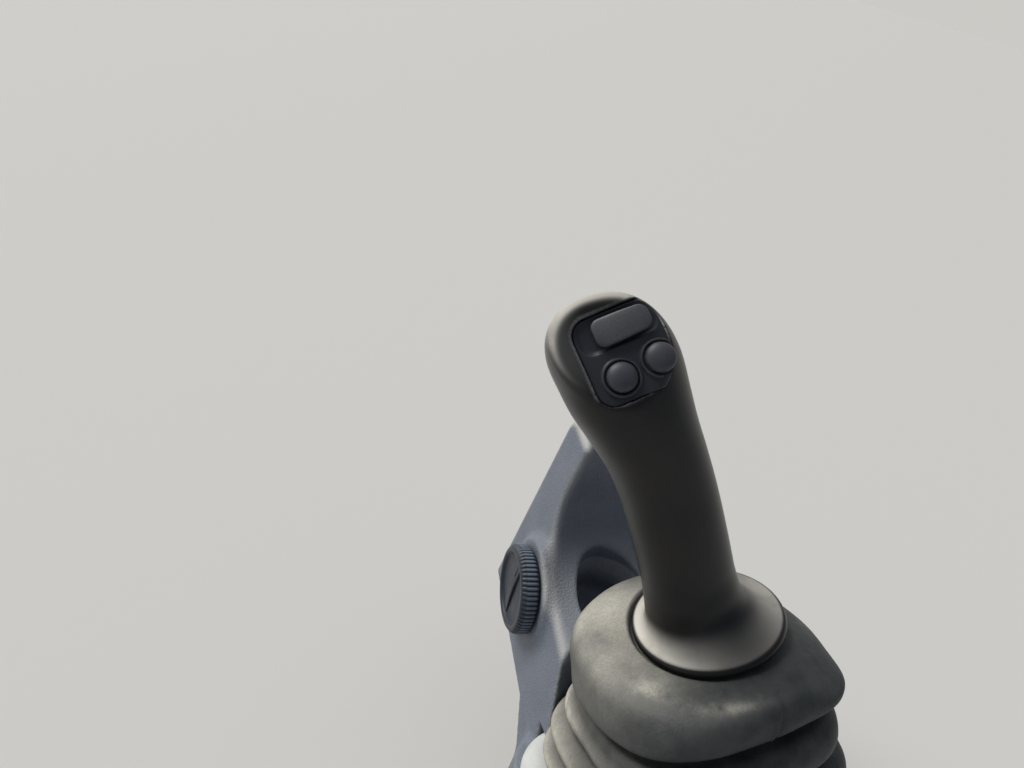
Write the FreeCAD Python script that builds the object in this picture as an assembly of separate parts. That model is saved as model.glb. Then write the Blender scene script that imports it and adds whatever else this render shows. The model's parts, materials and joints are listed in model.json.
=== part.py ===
import FreeCAD, Part
import math
import os
from FreeCAD import Placement, Rotation, Vector

# Right-hand joystick of a skid steer loader with its side console, in millimetres.
# X points outboard, Y forward, Z up. The origin is the centre of the foot plate's underside.

# Attitude of the stick: the seat leans forward, and the grip is cranked towards the operator
SEAT_HEIGHT = 147.0
SEAT_LEAN = 23.0
GRIP_CANT = 19.0

# Pilot valve and carrier
DECK_DROP = 8.0
PLATE_THICK = 5.0
PLATE_HALF = 62.0
LEG_THICK = 4.0
LEG_HALF_SPAN = 60.0
LEG_WIDTH = 70.0
FOOT_THICK = 6.0
FOOT_HOLE_SPACING = 120.0
FOOT_HOLE_RADIUS = 5.5
FOOT_EDGE = 14.0
FOOT_CORNER = 10.0
FOOT_RAIL = 32.0
VALVE_HALF = 31.0
VALVE_DEPTH = 76.0
VALVE_CORNER = 7.0
VALVE_FLANGE_HALF = 39.0
VALVE_FLANGE_THICK = 7.0
VALVE_BOLT_SPACING = 60.0
VALVE_BOLT_RADIUS = 4.0
PORT_RADIUS = 5.1
PORT_CIRCLE = 20.0
PORT_COUNT = 6
FITTING_LENGTH = 16.0
FITTING_FLATS = 15.0
FITTING_HEX = 9.0
FITTING_COLLAR = 7.1
FIT_GAP = 0.3

# Gimbal
GIMBAL_HEIGHT = 20.0
PIN_RADIUS = 4.0
PIN_GAP = 0.05
EAR_INNER = 13.0
EAR_THICK = 5.0
EAR_RADIUS = 7.0
HUB_HALF = 6.5
YOKE_BAR_BASE = 16.0
YOKE_BAR_THICK = 7.0
YOKE_BAR_HALF = 8.0

# Lever rod and grip
ROD_RADIUS = 6.0
ROD_BEND_RADIUS = 40.0
GRIP_BASE_HEIGHT = 112.0
ROD_INTO_GRIP = 70.0
SKIRT_CLEARANCE = 8.0
DISC_RADIUS = 37.5
DISC_THICK = 5.0
SKIRT_HEIGHT = 26.0
STEM_HALF_WIDTH = 22.5
STEM_HALF_DEPTH = 19.5
STEM_SHIFT = 6.3
STEM_COLLAR = 0.8

# Boot
BOOT_WALL = 2.5
BOOT_GAP = 0.5
BOOT_TOP_GAP = 2.0
FOLD_LEAN = 8.0
COLLAR_HALF = 72.0
COLLAR_CORNER = 32.0
COLLAR_HEIGHT = 13.0
COLLAR_SHOULDER = 11.0
COLLAR_OPENING_HALF = 54.0

# Console
SHELL_WALL = 3.0
SHELL_BOTTOM = 84.0
CHIN_RISE = 20.0
CHIN_REACH = 26.0
SHIELD_FRONT = 200.0
SHIELD_TOP = 256.0
SHIELD_OUTBOARD = 68.0
SHIELD_ROUND = 12.0
EDGE_ROUND = 5.0
PANEL_X = -30.0
PANEL_Y = 130.0
PANEL_Z = 165.0
PANEL_TURN = 12.0
PANEL_SLOPE = 0.13
SCOOP_X = 15.0
SCOOP_Y = 62.0
SCOOP_RADIUS = 104.0
SCOOP_FLOOR = 170.0
SCOOP_BLEND = 50.0
BOOT_ROOM_HALF = 70.0
BOOT_ROOM_CORNER = 46.0
BOOT_ROOM_FLARE = 0.10
POCKET_DEPTH = 36.0
POCKET_ROUND = 12.0
DECK_OPENING_HALF = 50.0

# Dial
DIAL_RADIUS = 29.0
DIAL_THICK = 12.0
DIAL_Y = 143.0
DIAL_Z = 152.0
DIAL_GAP = 1.0
KNURL_DEPTH = 0.8
KNURL_COUNT = 60
DIAL_DISH = 2.0
BAR_HALF_WIDTH = 3.5
BOSS_HEIGHT = 3.0
BOSS_RADIUS = 33.0
SPINDLE_RADIUS = 3.0
BUSH_WALL = 1.8
SWITCH_RADIUS = 9.0
SWITCH_LENGTH = 9.0
SWITCH_DROP = 4.6
BUSH_HOLE_GAP = 0.2

# Face of the grip's head
FACE_X = -23.0
FACE_Y = -8.0
FACE_Z = 157.0
FACE_CORNER = 9.0
FACE_NORMAL = Vector(-0.30, -0.79, 0.54)
FACE_ROLL = 9.0
FACE_HALF_WIDTH = 18.5
FACE_LOW = 22.0
FACE_HIGH = 17.0
FACE_THICK = 6.5
FACE_RECESS = 1.1
TROUGH_DEPTH = 2.4
ROCKER_TRUNNION = 1.0
ROCKER_AXIS_DEPTH = 4.8
ROCKER_FOOT = 2.4
ROCKER_RISE = 2.7
BUTTON_RADIUS = 6.2
BUTTON_GAP = 0.4
BUTTON_RIM = 0.9
BUTTON_RISE = 2.2
BUTTON_FOOT = 4.0
BEZEL_RADIUS = 7.4
BEZEL_HEIGHT = 1.2

# Larger than the part, for cutters
FAR = 600.0


def wire_rounded(half_x, half_y, corner, z=0.0):
    """Closed rectangle of four lines and four arcs."""
    corner = min(corner, half_x - 0.01, half_y - 0.01)
    d = corner * (1 - math.sqrt(0.5))
    x, y, c = half_x, half_y, corner
    edges = []
    for sx, sy, flip in ((1, 1, False), (-1, 1, True), (-1, -1, False), (1, -1, True)):
        a = Vector(sx * x, sy * (y - c), z)
        m = Vector(sx * (x - d), sy * (y - d), z)
        b = Vector(sx * (x - c), sy * y, z)
        if flip:
            a, b = b, a
        edges.append(Part.Arc(a, m, b).toShape())
    loop = []
    for i, arc in enumerate(edges):
        nxt = edges[(i + 1) % 4]
        loop.append(arc)
        start, end = arc.Vertexes[-1].Point, nxt.Vertexes[0].Point
        loop.append(Part.makeLine(start, end))
    return Part.Wire(loop)


def prism(wire, height):
    return Part.Face(wire).extrude(Vector(0, 0, height))


def stick(shape):
    """Takes a shape from the stick's frame, Z along the valve's axis, to the part's frame."""
    lean = Rotation(Vector(1, 0, 0), -SEAT_LEAN)
    out = shape.copy()
    out.Placement = Placement(Vector(0, 0, SEAT_HEIGHT), lean).multiply(out.Placement)
    return out


def grip_frame(shape):
    """Takes a shape from the grip's frame, Z along the grip, to the part's frame."""
    out = shape.copy()
    cant = Placement(Vector(0, 0, GRIP_BASE_HEIGHT), Rotation(Vector(0, 1, 0), -GRIP_CANT))
    out.Placement = cant.multiply(out.Placement)
    return stick(out)


def face_frame(shape):
    """Takes a shape from the head's face, X across and Z out of it, to the grip's frame."""
    normal = Vector(FACE_NORMAL).normalize()
    across = Vector(0, 0, 1).cross(normal) * -1
    across = across.normalize()
    if across.x < 0:
        across = across * -1
    up = normal.cross(across)
    base = Placement(Vector(FACE_X, FACE_Y, FACE_Z), Rotation(across, up, normal, "ZXY"))
    roll = Placement(Vector(0, 0, 0), Rotation(Vector(0, 0, 1), FACE_ROLL))
    out = shape.copy()
    out.Placement = base.multiply(roll).multiply(out.Placement)
    return out


# Console shell


def pedestal(inset):
    """Column under the boot, cut off by the leaning deck."""
    half = COLLAR_HALF - inset
    column = prism(wire_rounded(half, half, COLLAR_CORNER - inset), FAR)
    column.translate(Vector(0, 0, SHELL_BOTTOM - inset))
    above = Part.makeBox(FAR, FAR, FAR, Vector(-FAR / 2, -FAR / 2, -DECK_DROP - inset))
    return column.cut(stick(above))


def panel_normal():
    turn = math.radians(PANEL_TURN)
    return Vector(-math.cos(turn), math.sin(turn), PANEL_SLOPE).normalize()


def over_panel(point):
    """Height of a point over the panel's plane."""
    return (point - Vector(PANEL_X, PANEL_Y, PANEL_Z)).dot(panel_normal())


def panel_cutter(inset):
    """Half space inboard of the panel."""
    box = Part.makeBox(FAR, FAR, FAR, Vector(-FAR / 2, -FAR / 2, -inset))
    panel = Placement(Vector(PANEL_X, PANEL_Y, PANEL_Z), Rotation(Vector(0, 0, 1), panel_normal()))
    box.Placement = panel.multiply(box.Placement)
    return box


def rounded_edges(solid, radius, chosen):
    """Fillets the edges for which chosen says True at both ends."""
    edges = [e for e in solid.Edges if all(chosen(v.Point) for v in e.Vertexes)]
    return solid.makeFillet(radius, edges)


def shield(inset):
    """Forward part of the shell, which carries the dial and rises ahead of the hand."""
    low, front, top = SHELL_BOTTOM - inset, SHIELD_FRONT - inset, SHIELD_TOP - inset
    chin = low + CHIN_RISE + 2 * inset
    points = [
        Vector(0, 40, low),
        Vector(0, COLLAR_HALF, low),
        Vector(0, COLLAR_HALF + CHIN_REACH, chin),
        Vector(0, front, chin),
        Vector(0, front, top),
        Vector(0, 40, top),
    ]
    face = Part.Face(Part.makePolygon(points + [points[0]]))
    side = SHIELD_OUTBOARD - inset
    block = face.extrude(Vector(COLLAR_HALF + side, 0, 0))
    block.translate(Vector(-COLLAR_HALF, 0, 0))
    block = rounded_edges(block, SHIELD_ROUND - inset, lambda v: abs(v.y - front) < 0.01 and v.z > chin + 1)
    block = rounded_edges(block, EDGE_ROUND - inset, lambda v: abs(v.x - side) < 0.01 and v.z > chin - 0.01)
    block = block.cut(panel_cutter(inset))
    if not inset:
        block = rounded_edges(block, EDGE_ROUND, lambda v: abs(over_panel(v)) < 0.01 and v.z > chin - 0.01)
    return block.cut(scoop(inset)).cut(well(inset))


def scoop(inset):
    """Hollow for the knuckles: a bowl with an upright wall."""
    r, floor = SCOOP_RADIUS + inset, SCOOP_FLOOR - inset
    b = SCOOP_BLEND
    mid = Vector(r - b + b * math.sin(math.radians(45)), 0, floor + b - b * math.cos(math.radians(45)))
    top = FAR
    edges = [
        Part.makeLine(Vector(0, 0, floor), Vector(r - b, 0, floor)),
        Part.Arc(Vector(r - b, 0, floor), mid, Vector(r, 0, floor + b)).toShape(),
        Part.makeLine(Vector(r, 0, floor + b), Vector(r, 0, top)),
        Part.makeLine(Vector(r, 0, top), Vector(0, 0, top)),
        Part.makeLine(Vector(0, 0, top), Vector(0, 0, floor)),
    ]
    bowl = Part.Face(Part.Wire(edges)).revolve(Vector(0, 0, 0), Vector(0, 0, 1), 360)
    bowl.translate(Vector(SCOOP_X, SCOOP_Y, 0))
    return bowl


def well(inset):
    """Room for the collar and, above it, for the boot, widening upwards."""
    half = COLLAR_HALF + FIT_GAP + inset
    low, high = -DECK_DROP - inset, COLLAR_HEIGHT - DECK_DROP + FIT_GAP + inset
    room = prism(wire_rounded(half, half, COLLAR_CORNER + FIT_GAP + inset), high - low)
    room.translate(Vector(0, 0, low))
    wires = []
    for rise in (0, FAR / 2):
        grow = inset + BOOT_ROOM_FLARE * rise
        side = BOOT_ROOM_HALF + grow
        wires.append(wire_rounded(side, side, BOOT_ROOM_CORNER + grow, high - 2 * FIT_GAP - inset + rise))
    return stick(room.fuse(Part.makeLoft(wires, True, True)))


POCKET_CORNERS = ((-16, 98), (-10, 132), (6, 150), (26, 148), (42, 128), (44, 98))


def pocket(grow, depth):
    """Rounded tray in the scoop's floor, narrower towards the front."""
    points = [Vector(x, y, 0) for x, y in POCKET_CORNERS]
    face = Part.Face(Part.makePolygon(points + [points[0]]))
    face = face.makeOffset2D(-POCKET_ROUND, 2).makeOffset2D(POCKET_ROUND + grow, 0)
    solid = face.extrude(Vector(0, 0, depth + 60))
    solid.translate(Vector(0, 0, SCOOP_FLOOR - depth))
    return solid


def dial_place(shape):
    """Takes a shape from the dial's frame, Z out of the panel, to the part's frame."""
    turn = math.radians(PANEL_TURN)
    out_dir = Vector(-math.cos(turn), math.sin(turn), 0)
    x = PANEL_X + (DIAL_Y - PANEL_Y) * math.tan(turn) + (DIAL_Z - PANEL_Z) * PANEL_SLOPE / math.cos(turn)
    out = shape.copy()
    dial = Placement(Vector(x, DIAL_Y, DIAL_Z), Rotation(Vector(0, 0, 1), out_dir))
    out.Placement = dial.multiply(out.Placement)
    return out


def boss(radius):
    """Raised round pad for the dial, trimmed by the scoop."""
    pad = Part.makeCone(radius + 3, radius, 10 + BOSS_HEIGHT, Vector(0, 0, -10))
    return dial_place(pad).cut(scoop(0))


def pod_shell():
    outer = pedestal(0).fuse(shield(0)).fuse(boss(BOSS_RADIUS))
    inner = pedestal(SHELL_WALL).fuse(shield(SHELL_WALL))
    inner = inner.cut(pocket(SHELL_WALL, POCKET_DEPTH + SHELL_WALL))
    shell = outer.cut(inner)
    shell = shell.cut(pocket(0, POCKET_DEPTH))
    opening = prism(wire_rounded(DECK_OPENING_HALF, DECK_OPENING_HALF, 20), 40)
    opening.translate(Vector(0, 0, -30))
    shell = shell.cut(stick(opening))
    hole_radius = SPINDLE_RADIUS + BUSH_WALL + BUSH_HOLE_GAP
    bush_hole = Part.makeCylinder(hole_radius, 2 * DIAL_RADIUS, Vector(0, 0, -DIAL_RADIUS))
    return shell.cut(dial_place(bush_hole))


def boot_collar():
    ring = prism(wire_rounded(COLLAR_HALF, COLLAR_HALF, COLLAR_CORNER), COLLAR_HEIGHT)
    top = [e for e in ring.Edges if all(abs(v.Point.z - COLLAR_HEIGHT) < 0.01 for v in e.Vertexes)]
    ring = ring.makeFillet(COLLAR_SHOULDER, top)
    hole = prism(wire_rounded(COLLAR_OPENING_HALF, COLLAR_OPENING_HALF, 24), COLLAR_HEIGHT + 2)
    hole.translate(Vector(0, 0, -1))
    ring = ring.cut(hole)
    ring.translate(Vector(0, 0, -DECK_DROP))
    return stick(ring)


# Carrier and valve


def plate_top():
    return -DECK_DROP - SHELL_WALL


def upright_at(edge, y):
    """True for a vertical edge at that y."""
    a, b = (v.Point for v in edge.Vertexes)
    return abs(a.y - y) < 0.01 and abs(b.y - y) < 0.01 and abs(a.z - b.z) > 0.01


def carrier():
    """Bent steel stand: foot plate open behind for the hoses, two side legs and the leaning top plate."""
    plate = prism(wire_rounded(PLATE_HALF, PLATE_HALF, 8), PLATE_THICK)
    window = prism(wire_rounded(VALVE_HALF + 1.5, VALVE_HALF + 1.5, 6), PLATE_THICK + 2)
    window.translate(Vector(0, 0, -1))
    plate = plate.cut(window)
    for sx in (-1, 1):
        for sy in (-1, 1):
            spot = Vector(sx * VALVE_BOLT_SPACING / 2, sy * VALVE_BOLT_SPACING / 2, -1)
            plate = plate.cut(Part.makeCylinder(VALVE_BOLT_RADIUS, PLATE_THICK + 2, spot))
    plate.translate(Vector(0, 0, plate_top() - PLATE_THICK))
    plate = stick(plate)
    foot_half = FOOT_HOLE_SPACING / 2 + FOOT_EDGE
    foot = prism(wire_rounded(foot_half, foot_half, FOOT_CORNER), FOOT_THICK)
    window = foot_half - FOOT_RAIL
    opening = Part.makeBox(2 * window, foot_half + window, FOOT_THICK, Vector(-window, -foot_half, 0))
    foot = foot.cut(opening.makeFillet(FOOT_CORNER, [e for e in opening.Edges if upright_at(e, window)]))
    for sx in (-1, 1):
        for sy in (-1, 1):
            spot = Vector(sx * FOOT_HOLE_SPACING / 2, sy * FOOT_HOLE_SPACING / 2, -1)
            foot = foot.cut(Part.makeCylinder(FOOT_HOLE_RADIUS, FOOT_THICK + 2, spot))
    stand = foot.fuse(plate)
    under = Part.makeBox(FAR, FAR, FAR, Vector(-FAR / 2, -FAR / 2, plate_top() - PLATE_THICK + 0.5))
    for side in (-1, 1):
        corner = Vector(-LEG_THICK / 2, -LEG_WIDTH / 2, FOOT_THICK - 0.5)
        leg = Part.makeBox(LEG_THICK, LEG_WIDTH, 200, corner)
        leg.translate(Vector(side * (LEG_HALF_SPAN - LEG_THICK / 2 - 6), 0, 0))
        stand = stand.fuse(leg.cut(stick(under)))
    return stand.removeSplitter()


def valve_body():
    block = prism(wire_rounded(VALVE_HALF, VALVE_HALF, VALVE_CORNER), VALVE_DEPTH)
    block.translate(Vector(0, 0, plate_top() - VALVE_DEPTH))
    return stick(block)


def port_fittings():
    """Ring of tube fittings under the valve, each a hexagon with a round collar."""
    corner = FITTING_FLATS / 2 / math.cos(math.radians(30))
    points = [Vector(corner, 0, 0)]
    for i in range(6):
        angle = math.radians(60 * (i + 1))
        points.append(Vector(corner * math.cos(angle), corner * math.sin(angle), 0))
    hexagon = Part.Face(Part.makePolygon(points)).extrude(Vector(0, 0, -FITTING_HEX))
    one = hexagon.fuse(Part.makeCylinder(FITTING_COLLAR, FITTING_LENGTH, Vector(0, 0, -FITTING_LENGTH)))
    bore = Part.makeCylinder(PORT_RADIUS, FITTING_LENGTH, Vector(0, 0, -FITTING_LENGTH))
    one = one.cut(bore).removeSplitter()
    fittings = []
    for i in range(PORT_COUNT):
        angle = math.radians(360 * i / PORT_COUNT)
        spot = Vector(PORT_CIRCLE * math.cos(angle), PORT_CIRCLE * math.sin(angle), plate_top() - VALVE_DEPTH)
        fitting = one.copy()
        fitting.translate(spot)
        fittings.append(stick(fitting))
    return Part.makeCompound(fittings)


def valve_flange():
    plate = prism(wire_rounded(VALVE_FLANGE_HALF, VALVE_FLANGE_HALF, 10), VALVE_FLANGE_THICK)
    for sx in (-1, 1):
        for sy in (-1, 1):
            spot = Vector(sx * VALVE_BOLT_SPACING / 2, sy * VALVE_BOLT_SPACING / 2, -1)
            plate = plate.cut(Part.makeCylinder(VALVE_BOLT_RADIUS, VALVE_FLANGE_THICK + 2, spot))
    plate.translate(Vector(0, 0, plate_top()))
    return stick(plate)


def flange_top():
    return plate_top() + VALVE_FLANGE_THICK


# Gimbal and lever


def ear(thick):
    """Round-ended lug with its pin hole at the origin, standing on its foot."""
    round_end = Part.makeCylinder(EAR_RADIUS, thick, Vector(0, 0, 0), Vector(1, 0, 0))
    height = GIMBAL_HEIGHT - flange_top()
    foot = Part.makeBox(thick, 2 * EAR_RADIUS, height, Vector(0, -EAR_RADIUS, -height))
    hole = Part.makeCylinder(PIN_RADIUS + PIN_GAP, thick + 2, Vector(-1, 0, 0), Vector(1, 0, 0))
    return round_end.fuse(foot).cut(hole)


def gimbal_fork():
    out = None
    for x in (EAR_INNER, -EAR_INNER - EAR_THICK):
        lug = ear(EAR_THICK)
        lug.translate(Vector(x, 0, GIMBAL_HEIGHT))
        out = lug if out is None else out.fuse(lug)
    half = EAR_INNER + EAR_THICK
    base = Part.makeBox(2 * half, 2 * EAR_RADIUS, 3, Vector(-half, -EAR_RADIUS, flange_top()))
    return stick(out.fuse(base).removeSplitter())


def gimbal_cross():
    reach = EAR_INNER + EAR_THICK
    hub = Part.makeBox(2 * HUB_HALF, 2 * HUB_HALF, 2 * HUB_HALF, Vector(-HUB_HALF, -HUB_HALF, -HUB_HALF))
    hub = hub.makeFillet(2.0, hub.Edges)
    cross = hub.fuse(Part.makeCylinder(PIN_RADIUS, 2 * reach, Vector(-reach, 0, 0), Vector(1, 0, 0)))
    cross = cross.fuse(Part.makeCylinder(PIN_RADIUS, 2 * reach, Vector(0, -reach, 0), Vector(0, 1, 0)))
    cross.translate(Vector(0, 0, GIMBAL_HEIGHT))
    return stick(cross.removeSplitter())


def lever_rod():
    """Yoke over the cross, and the rod, cranked below the grip."""
    top = YOKE_BAR_BASE + YOKE_BAR_THICK
    reach = EAR_INNER + EAR_THICK
    corner = Vector(-YOKE_BAR_HALF, -reach, YOKE_BAR_BASE)
    bar = Part.makeBox(2 * YOKE_BAR_HALF, 2 * reach, YOKE_BAR_THICK, corner)
    yoke = bar
    for y in (EAR_INNER, -reach):
        lug = Part.makeCylinder(EAR_RADIUS, EAR_THICK, Vector(0, y, 0), Vector(0, 1, 0))
        web = Part.makeBox(2 * EAR_RADIUS, EAR_THICK, YOKE_BAR_BASE + 1, Vector(-EAR_RADIUS, y, 0))
        hole = Part.makeCylinder(PIN_RADIUS + PIN_GAP, EAR_THICK + 2, Vector(0, y - 1, 0), Vector(0, 1, 0))
        yoke = yoke.fuse(lug.fuse(web).cut(hole))
    yoke.translate(Vector(0, 0, GIMBAL_HEIGHT))
    cant = math.radians(GRIP_CANT)
    back = ROD_BEND_RADIUS * math.tan(cant / 2)
    start = Vector(0, 0, GIMBAL_HEIGHT + top - 1)
    bend = Vector(0, 0, GRIP_BASE_HEIGHT)
    along = Vector(-math.sin(cant), 0, math.cos(cant))
    first = bend - Vector(0, 0, back)
    last = bend + along * back
    centre = first + Vector(-ROD_BEND_RADIUS, 0, 0)
    middle = centre + Vector(math.cos(cant / 2), 0, math.sin(cant / 2)) * ROD_BEND_RADIUS
    end = bend + along * ROD_INTO_GRIP
    path = Part.Wire([
        Part.makeLine(start, first),
        Part.Arc(first, middle, last).toShape(),
        Part.makeLine(last, end),
    ])
    section = Part.Wire(Part.makeCircle(ROD_RADIUS, start, Vector(0, 0, 1)))
    rod = path.makePipeShell([section], True, True)
    return stick(yoke.fuse(rod).removeSplitter())


SKIRT_SECTIONS = (
    # share of the skirt's height, share of the way in from the disc to the stem
    (0.0, 0.10),
    (0.10, 0.45),
    (0.28, 0.72),
    (0.58, 0.93),
    (1.0, 1.0),
)


def skirt_disc():
    """Flange and flared skirt at the foot of the grip, which stands off its middle."""
    disc = Part.makeCylinder(DISC_RADIUS, DISC_THICK, Vector(0, 0, -DISC_THICK))
    disc = disc.makeFillet(DISC_THICK / 3, [disc.Edges[0], disc.Edges[2]])
    wires = []
    for share, inward in SKIRT_SECTIONS:
        half_x = DISC_RADIUS + (STEM_HALF_WIDTH + STEM_COLLAR - DISC_RADIUS) * inward
        half_y = DISC_RADIUS + (STEM_HALF_DEPTH + STEM_COLLAR - DISC_RADIUS) * inward
        wire = wire_rounded(half_x, half_y, half_y - 0.1, share * SKIRT_HEIGHT - 0.2)
        wire.translate(Vector(-STEM_SHIFT * inward, 0, 0))
        wires.append(wire)
    skirt = disc.fuse(Part.makeLoft(wires, True, False, False, 3))
    bore = Part.makeCylinder(ROD_RADIUS + FIT_GAP + SKIRT_CLEARANCE, FAR, Vector(0, 0, -FAR / 2))
    above = Part.makeBox(FAR, FAR, FAR, Vector(-FAR / 2, -FAR / 2, SKIRT_HEIGHT))
    return grip_frame(skirt.cut(bore).cut(above))


GRIP_SECTIONS = (
    # height, shift x, shift y, half width, half depth, corner
    (SKIRT_HEIGHT, -STEM_SHIFT, 0.0, STEM_HALF_WIDTH, STEM_HALF_DEPTH, 19.0),
    (44.0, -6.9, 0.3, STEM_HALF_WIDTH, STEM_HALF_DEPTH, 19.0),
    (62.0, -7.7, 0.6, 22.4, 19.4, 18.9),
    (80.0, -8.9, 1.0, 22.2, 19.5, 18.9),
    (98.0, -11.7, 1.6, 22.8, 20.4, 19.3),
    (114.0, -15.4, 2.6, 24.4, 21.9, 20.2),
    (128.0, -18.3, 3.8, 26.4, 23.5, 21.2),
    (142.0, -20.3, 4.8, 27.5, 24.5, 21.8),
    (154.0, -22.5, 5.4, 26.9, 23.5, 21.4),
    (164.0, -23.9, 5.8, 22.8, 19.6, 18.0),
    (171.0, -24.5, 6.0, 16.2, 13.4, 12.3),
    (174.5, -24.8, 6.0, 8.0, 6.0, 5.6),
)


def face_block(low, high, grow):
    """Rounded block on the head's face between two heights over it."""
    half = FACE_HALF_WIDTH + grow
    tall = (FACE_LOW + FACE_HIGH) / 2 + grow
    block = prism(wire_rounded(half, tall, FACE_CORNER + grow), high - low)
    block.translate(Vector(0, (FACE_HIGH - FACE_LOW) / 2, low))
    return face_frame(block)


def grip():
    wires = []
    for z, dx, dy, hx, hy, c in GRIP_SECTIONS:
        wire = wire_rounded(hx, hy, c, z)
        wire.translate(Vector(dx, dy, 0))
        wires.append(wire)
    body = Part.makeLoft(wires, True, False, False, 3)
    outside = Part.makeBox(FAR, FAR, FAR, Vector(-FAR / 2, -FAR / 2, 0))
    body = body.cut(face_frame(outside))
    body = body.cut(face_block(-FACE_THICK - FIT_GAP, 5, FIT_GAP))
    body = body.cut(Part.makeCylinder(ROD_RADIUS + FIT_GAP, ROD_INTO_GRIP + 1))
    return grip_frame(body)


# Centre and half sizes of the rocker and of its trough, and centres of the buttons
ROCKER = (2.5, 8.1, 12.5, 6.4)
TROUGH = (0.2, 8.6, 17.0, 7.6)
LEFT_BUTTON = (-6.0, -11.6)
RIGHT_BUTTON = (11.2, -10.2)


def face_panel():
    panel = face_block(-FACE_THICK, -FACE_RECESS, 0)
    x, y, hx, hy = TROUGH
    trough = prism(wire_rounded(hx, hy, 5), TROUGH_DEPTH + 1)
    trough.translate(Vector(x, y, -FACE_RECESS - TROUGH_DEPTH))
    panel = panel.cut(face_frame(trough))
    x, y, hx, hy = ROCKER
    slot = prism(wire_rounded(hx + 0.6, hy + 0.6, 4), 2 * FACE_THICK + 2)
    slot.translate(Vector(x, y, -FACE_THICK - 1))
    panel = panel.cut(face_frame(slot))
    start = Vector(x, y - hy - 2, -ROCKER_AXIS_DEPTH)
    seat = Part.makeCylinder(ROCKER_TRUNNION + PIN_GAP, 2 * hy + 4, start, Vector(0, 1, 0))
    panel = panel.cut(face_frame(seat))
    for bx, by in (LEFT_BUTTON, RIGHT_BUTTON):
        hole = Part.makeCylinder(BUTTON_RADIUS + BUTTON_GAP, 2 * FACE_THICK, Vector(bx, by, -FACE_THICK - 1))
        panel = panel.cut(face_frame(hole))
    return grip_frame(panel)


def rocker():
    """Thumb pad with two trunnions in the panel."""
    x, y, hx, hy = ROCKER
    pad = prism(wire_rounded(hx, hy, 4.2), ROCKER_FOOT + ROCKER_RISE)
    pad = rounded_edges(pad, 1.0, lambda v: v.z > ROCKER_FOOT + ROCKER_RISE - 0.01)
    pad.translate(Vector(x, y, -ROCKER_FOOT))
    lug_radius, foot = 1.6 * ROCKER_TRUNNION, Vector(x, y - hy + 0.5, -ROCKER_AXIS_DEPTH)
    lug = Part.makeCylinder(lug_radius, 2 * hy - 1, foot, Vector(0, 1, 0))
    web = Part.makeBox(2 * lug_radius, 2 * hy - 1, ROCKER_AXIS_DEPTH, foot - Vector(lug_radius, 0, 0))
    start = Vector(x, y - hy - 1.7, -ROCKER_AXIS_DEPTH)
    pin = Part.makeCylinder(ROCKER_TRUNNION, 2 * hy + 3.4, start, Vector(0, 1, 0))
    return grip_frame(face_frame(pad.fuse([lug, web, pin]).removeSplitter()))


def button(spot):
    x, y = spot
    stem = Part.makeCylinder(BUTTON_RADIUS, BUTTON_RIM + BUTTON_FOOT, Vector(x, y, -BUTTON_FOOT))
    r = (BUTTON_RADIUS ** 2 + BUTTON_RISE ** 2) / (2 * BUTTON_RISE)
    ball = Part.makeSphere(r, Vector(x, y, BUTTON_RIM + BUTTON_RISE - r))
    cap = ball.common(Part.makeCylinder(BUTTON_RADIUS, BUTTON_RISE + 1, Vector(x, y, BUTTON_RIM)))
    return grip_frame(face_frame(stem.fuse(cap).removeSplitter()))


def bezel(spot):
    x, y = spot
    ring = Part.makeCylinder(BEZEL_RADIUS, BEZEL_HEIGHT, Vector(x, y, PIN_GAP - FACE_RECESS))
    ring = ring.cut(Part.makeCylinder(BUTTON_RADIUS + BUTTON_GAP, 2 * FACE_THICK, Vector(x, y, -FACE_THICK)))
    return grip_frame(face_frame(ring))


BOOT_RINGS = (
    # share of the boot's height, half side, corner share of the half side
    (0.0, 62.0, 0.60),
    (0.07, 60.5, 0.61),
    (0.16, 68.0, 0.63),
    (0.255, 60.0, 0.65),
    (0.35, 66.5, 0.67),
    (0.44, 57.0, 0.69),
    (0.53, 62.0, 0.71),
    (0.63, 55.5, 0.73),
    (0.73, 62.0, 0.75),
    (0.80, 60.5, 0.78),
    (0.88, 51.5, 0.88),
    (0.945, 38.5, 0.98),
    (1.0, 31.0, 0.98),
)


def boot():
    """Bellows of rounded squares that grow rounder and more canted towards the grip."""
    foot = COLLAR_HEIGHT - DECK_DROP + BOOT_GAP
    top = GRIP_BASE_HEIGHT - DISC_THICK - BOOT_TOP_GAP
    solids = []
    for inset in (0, BOOT_WALL):
        wires = []
        for share, half, corner in BOOT_RINGS:
            height = foot + share * (top - foot)
            if inset and share in (0, 1):
                height += 0.5 if share else -0.5
            wire = wire_rounded(half - inset, half - inset, (half - inset) * corner)
            lean = Rotation(Vector(1, 0, 0), -FOLD_LEAN * math.sin(math.pi * share))
            cant = Rotation(Vector(0, 1, 0), -GRIP_CANT * share)
            wire.Placement = Placement(Vector(0, 0, height), cant.multiply(lean))
            wires.append(wire)
        solids.append(Part.makeLoft(wires, True, True))
    return stick(solids[0].cut(solids[1]))


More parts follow.
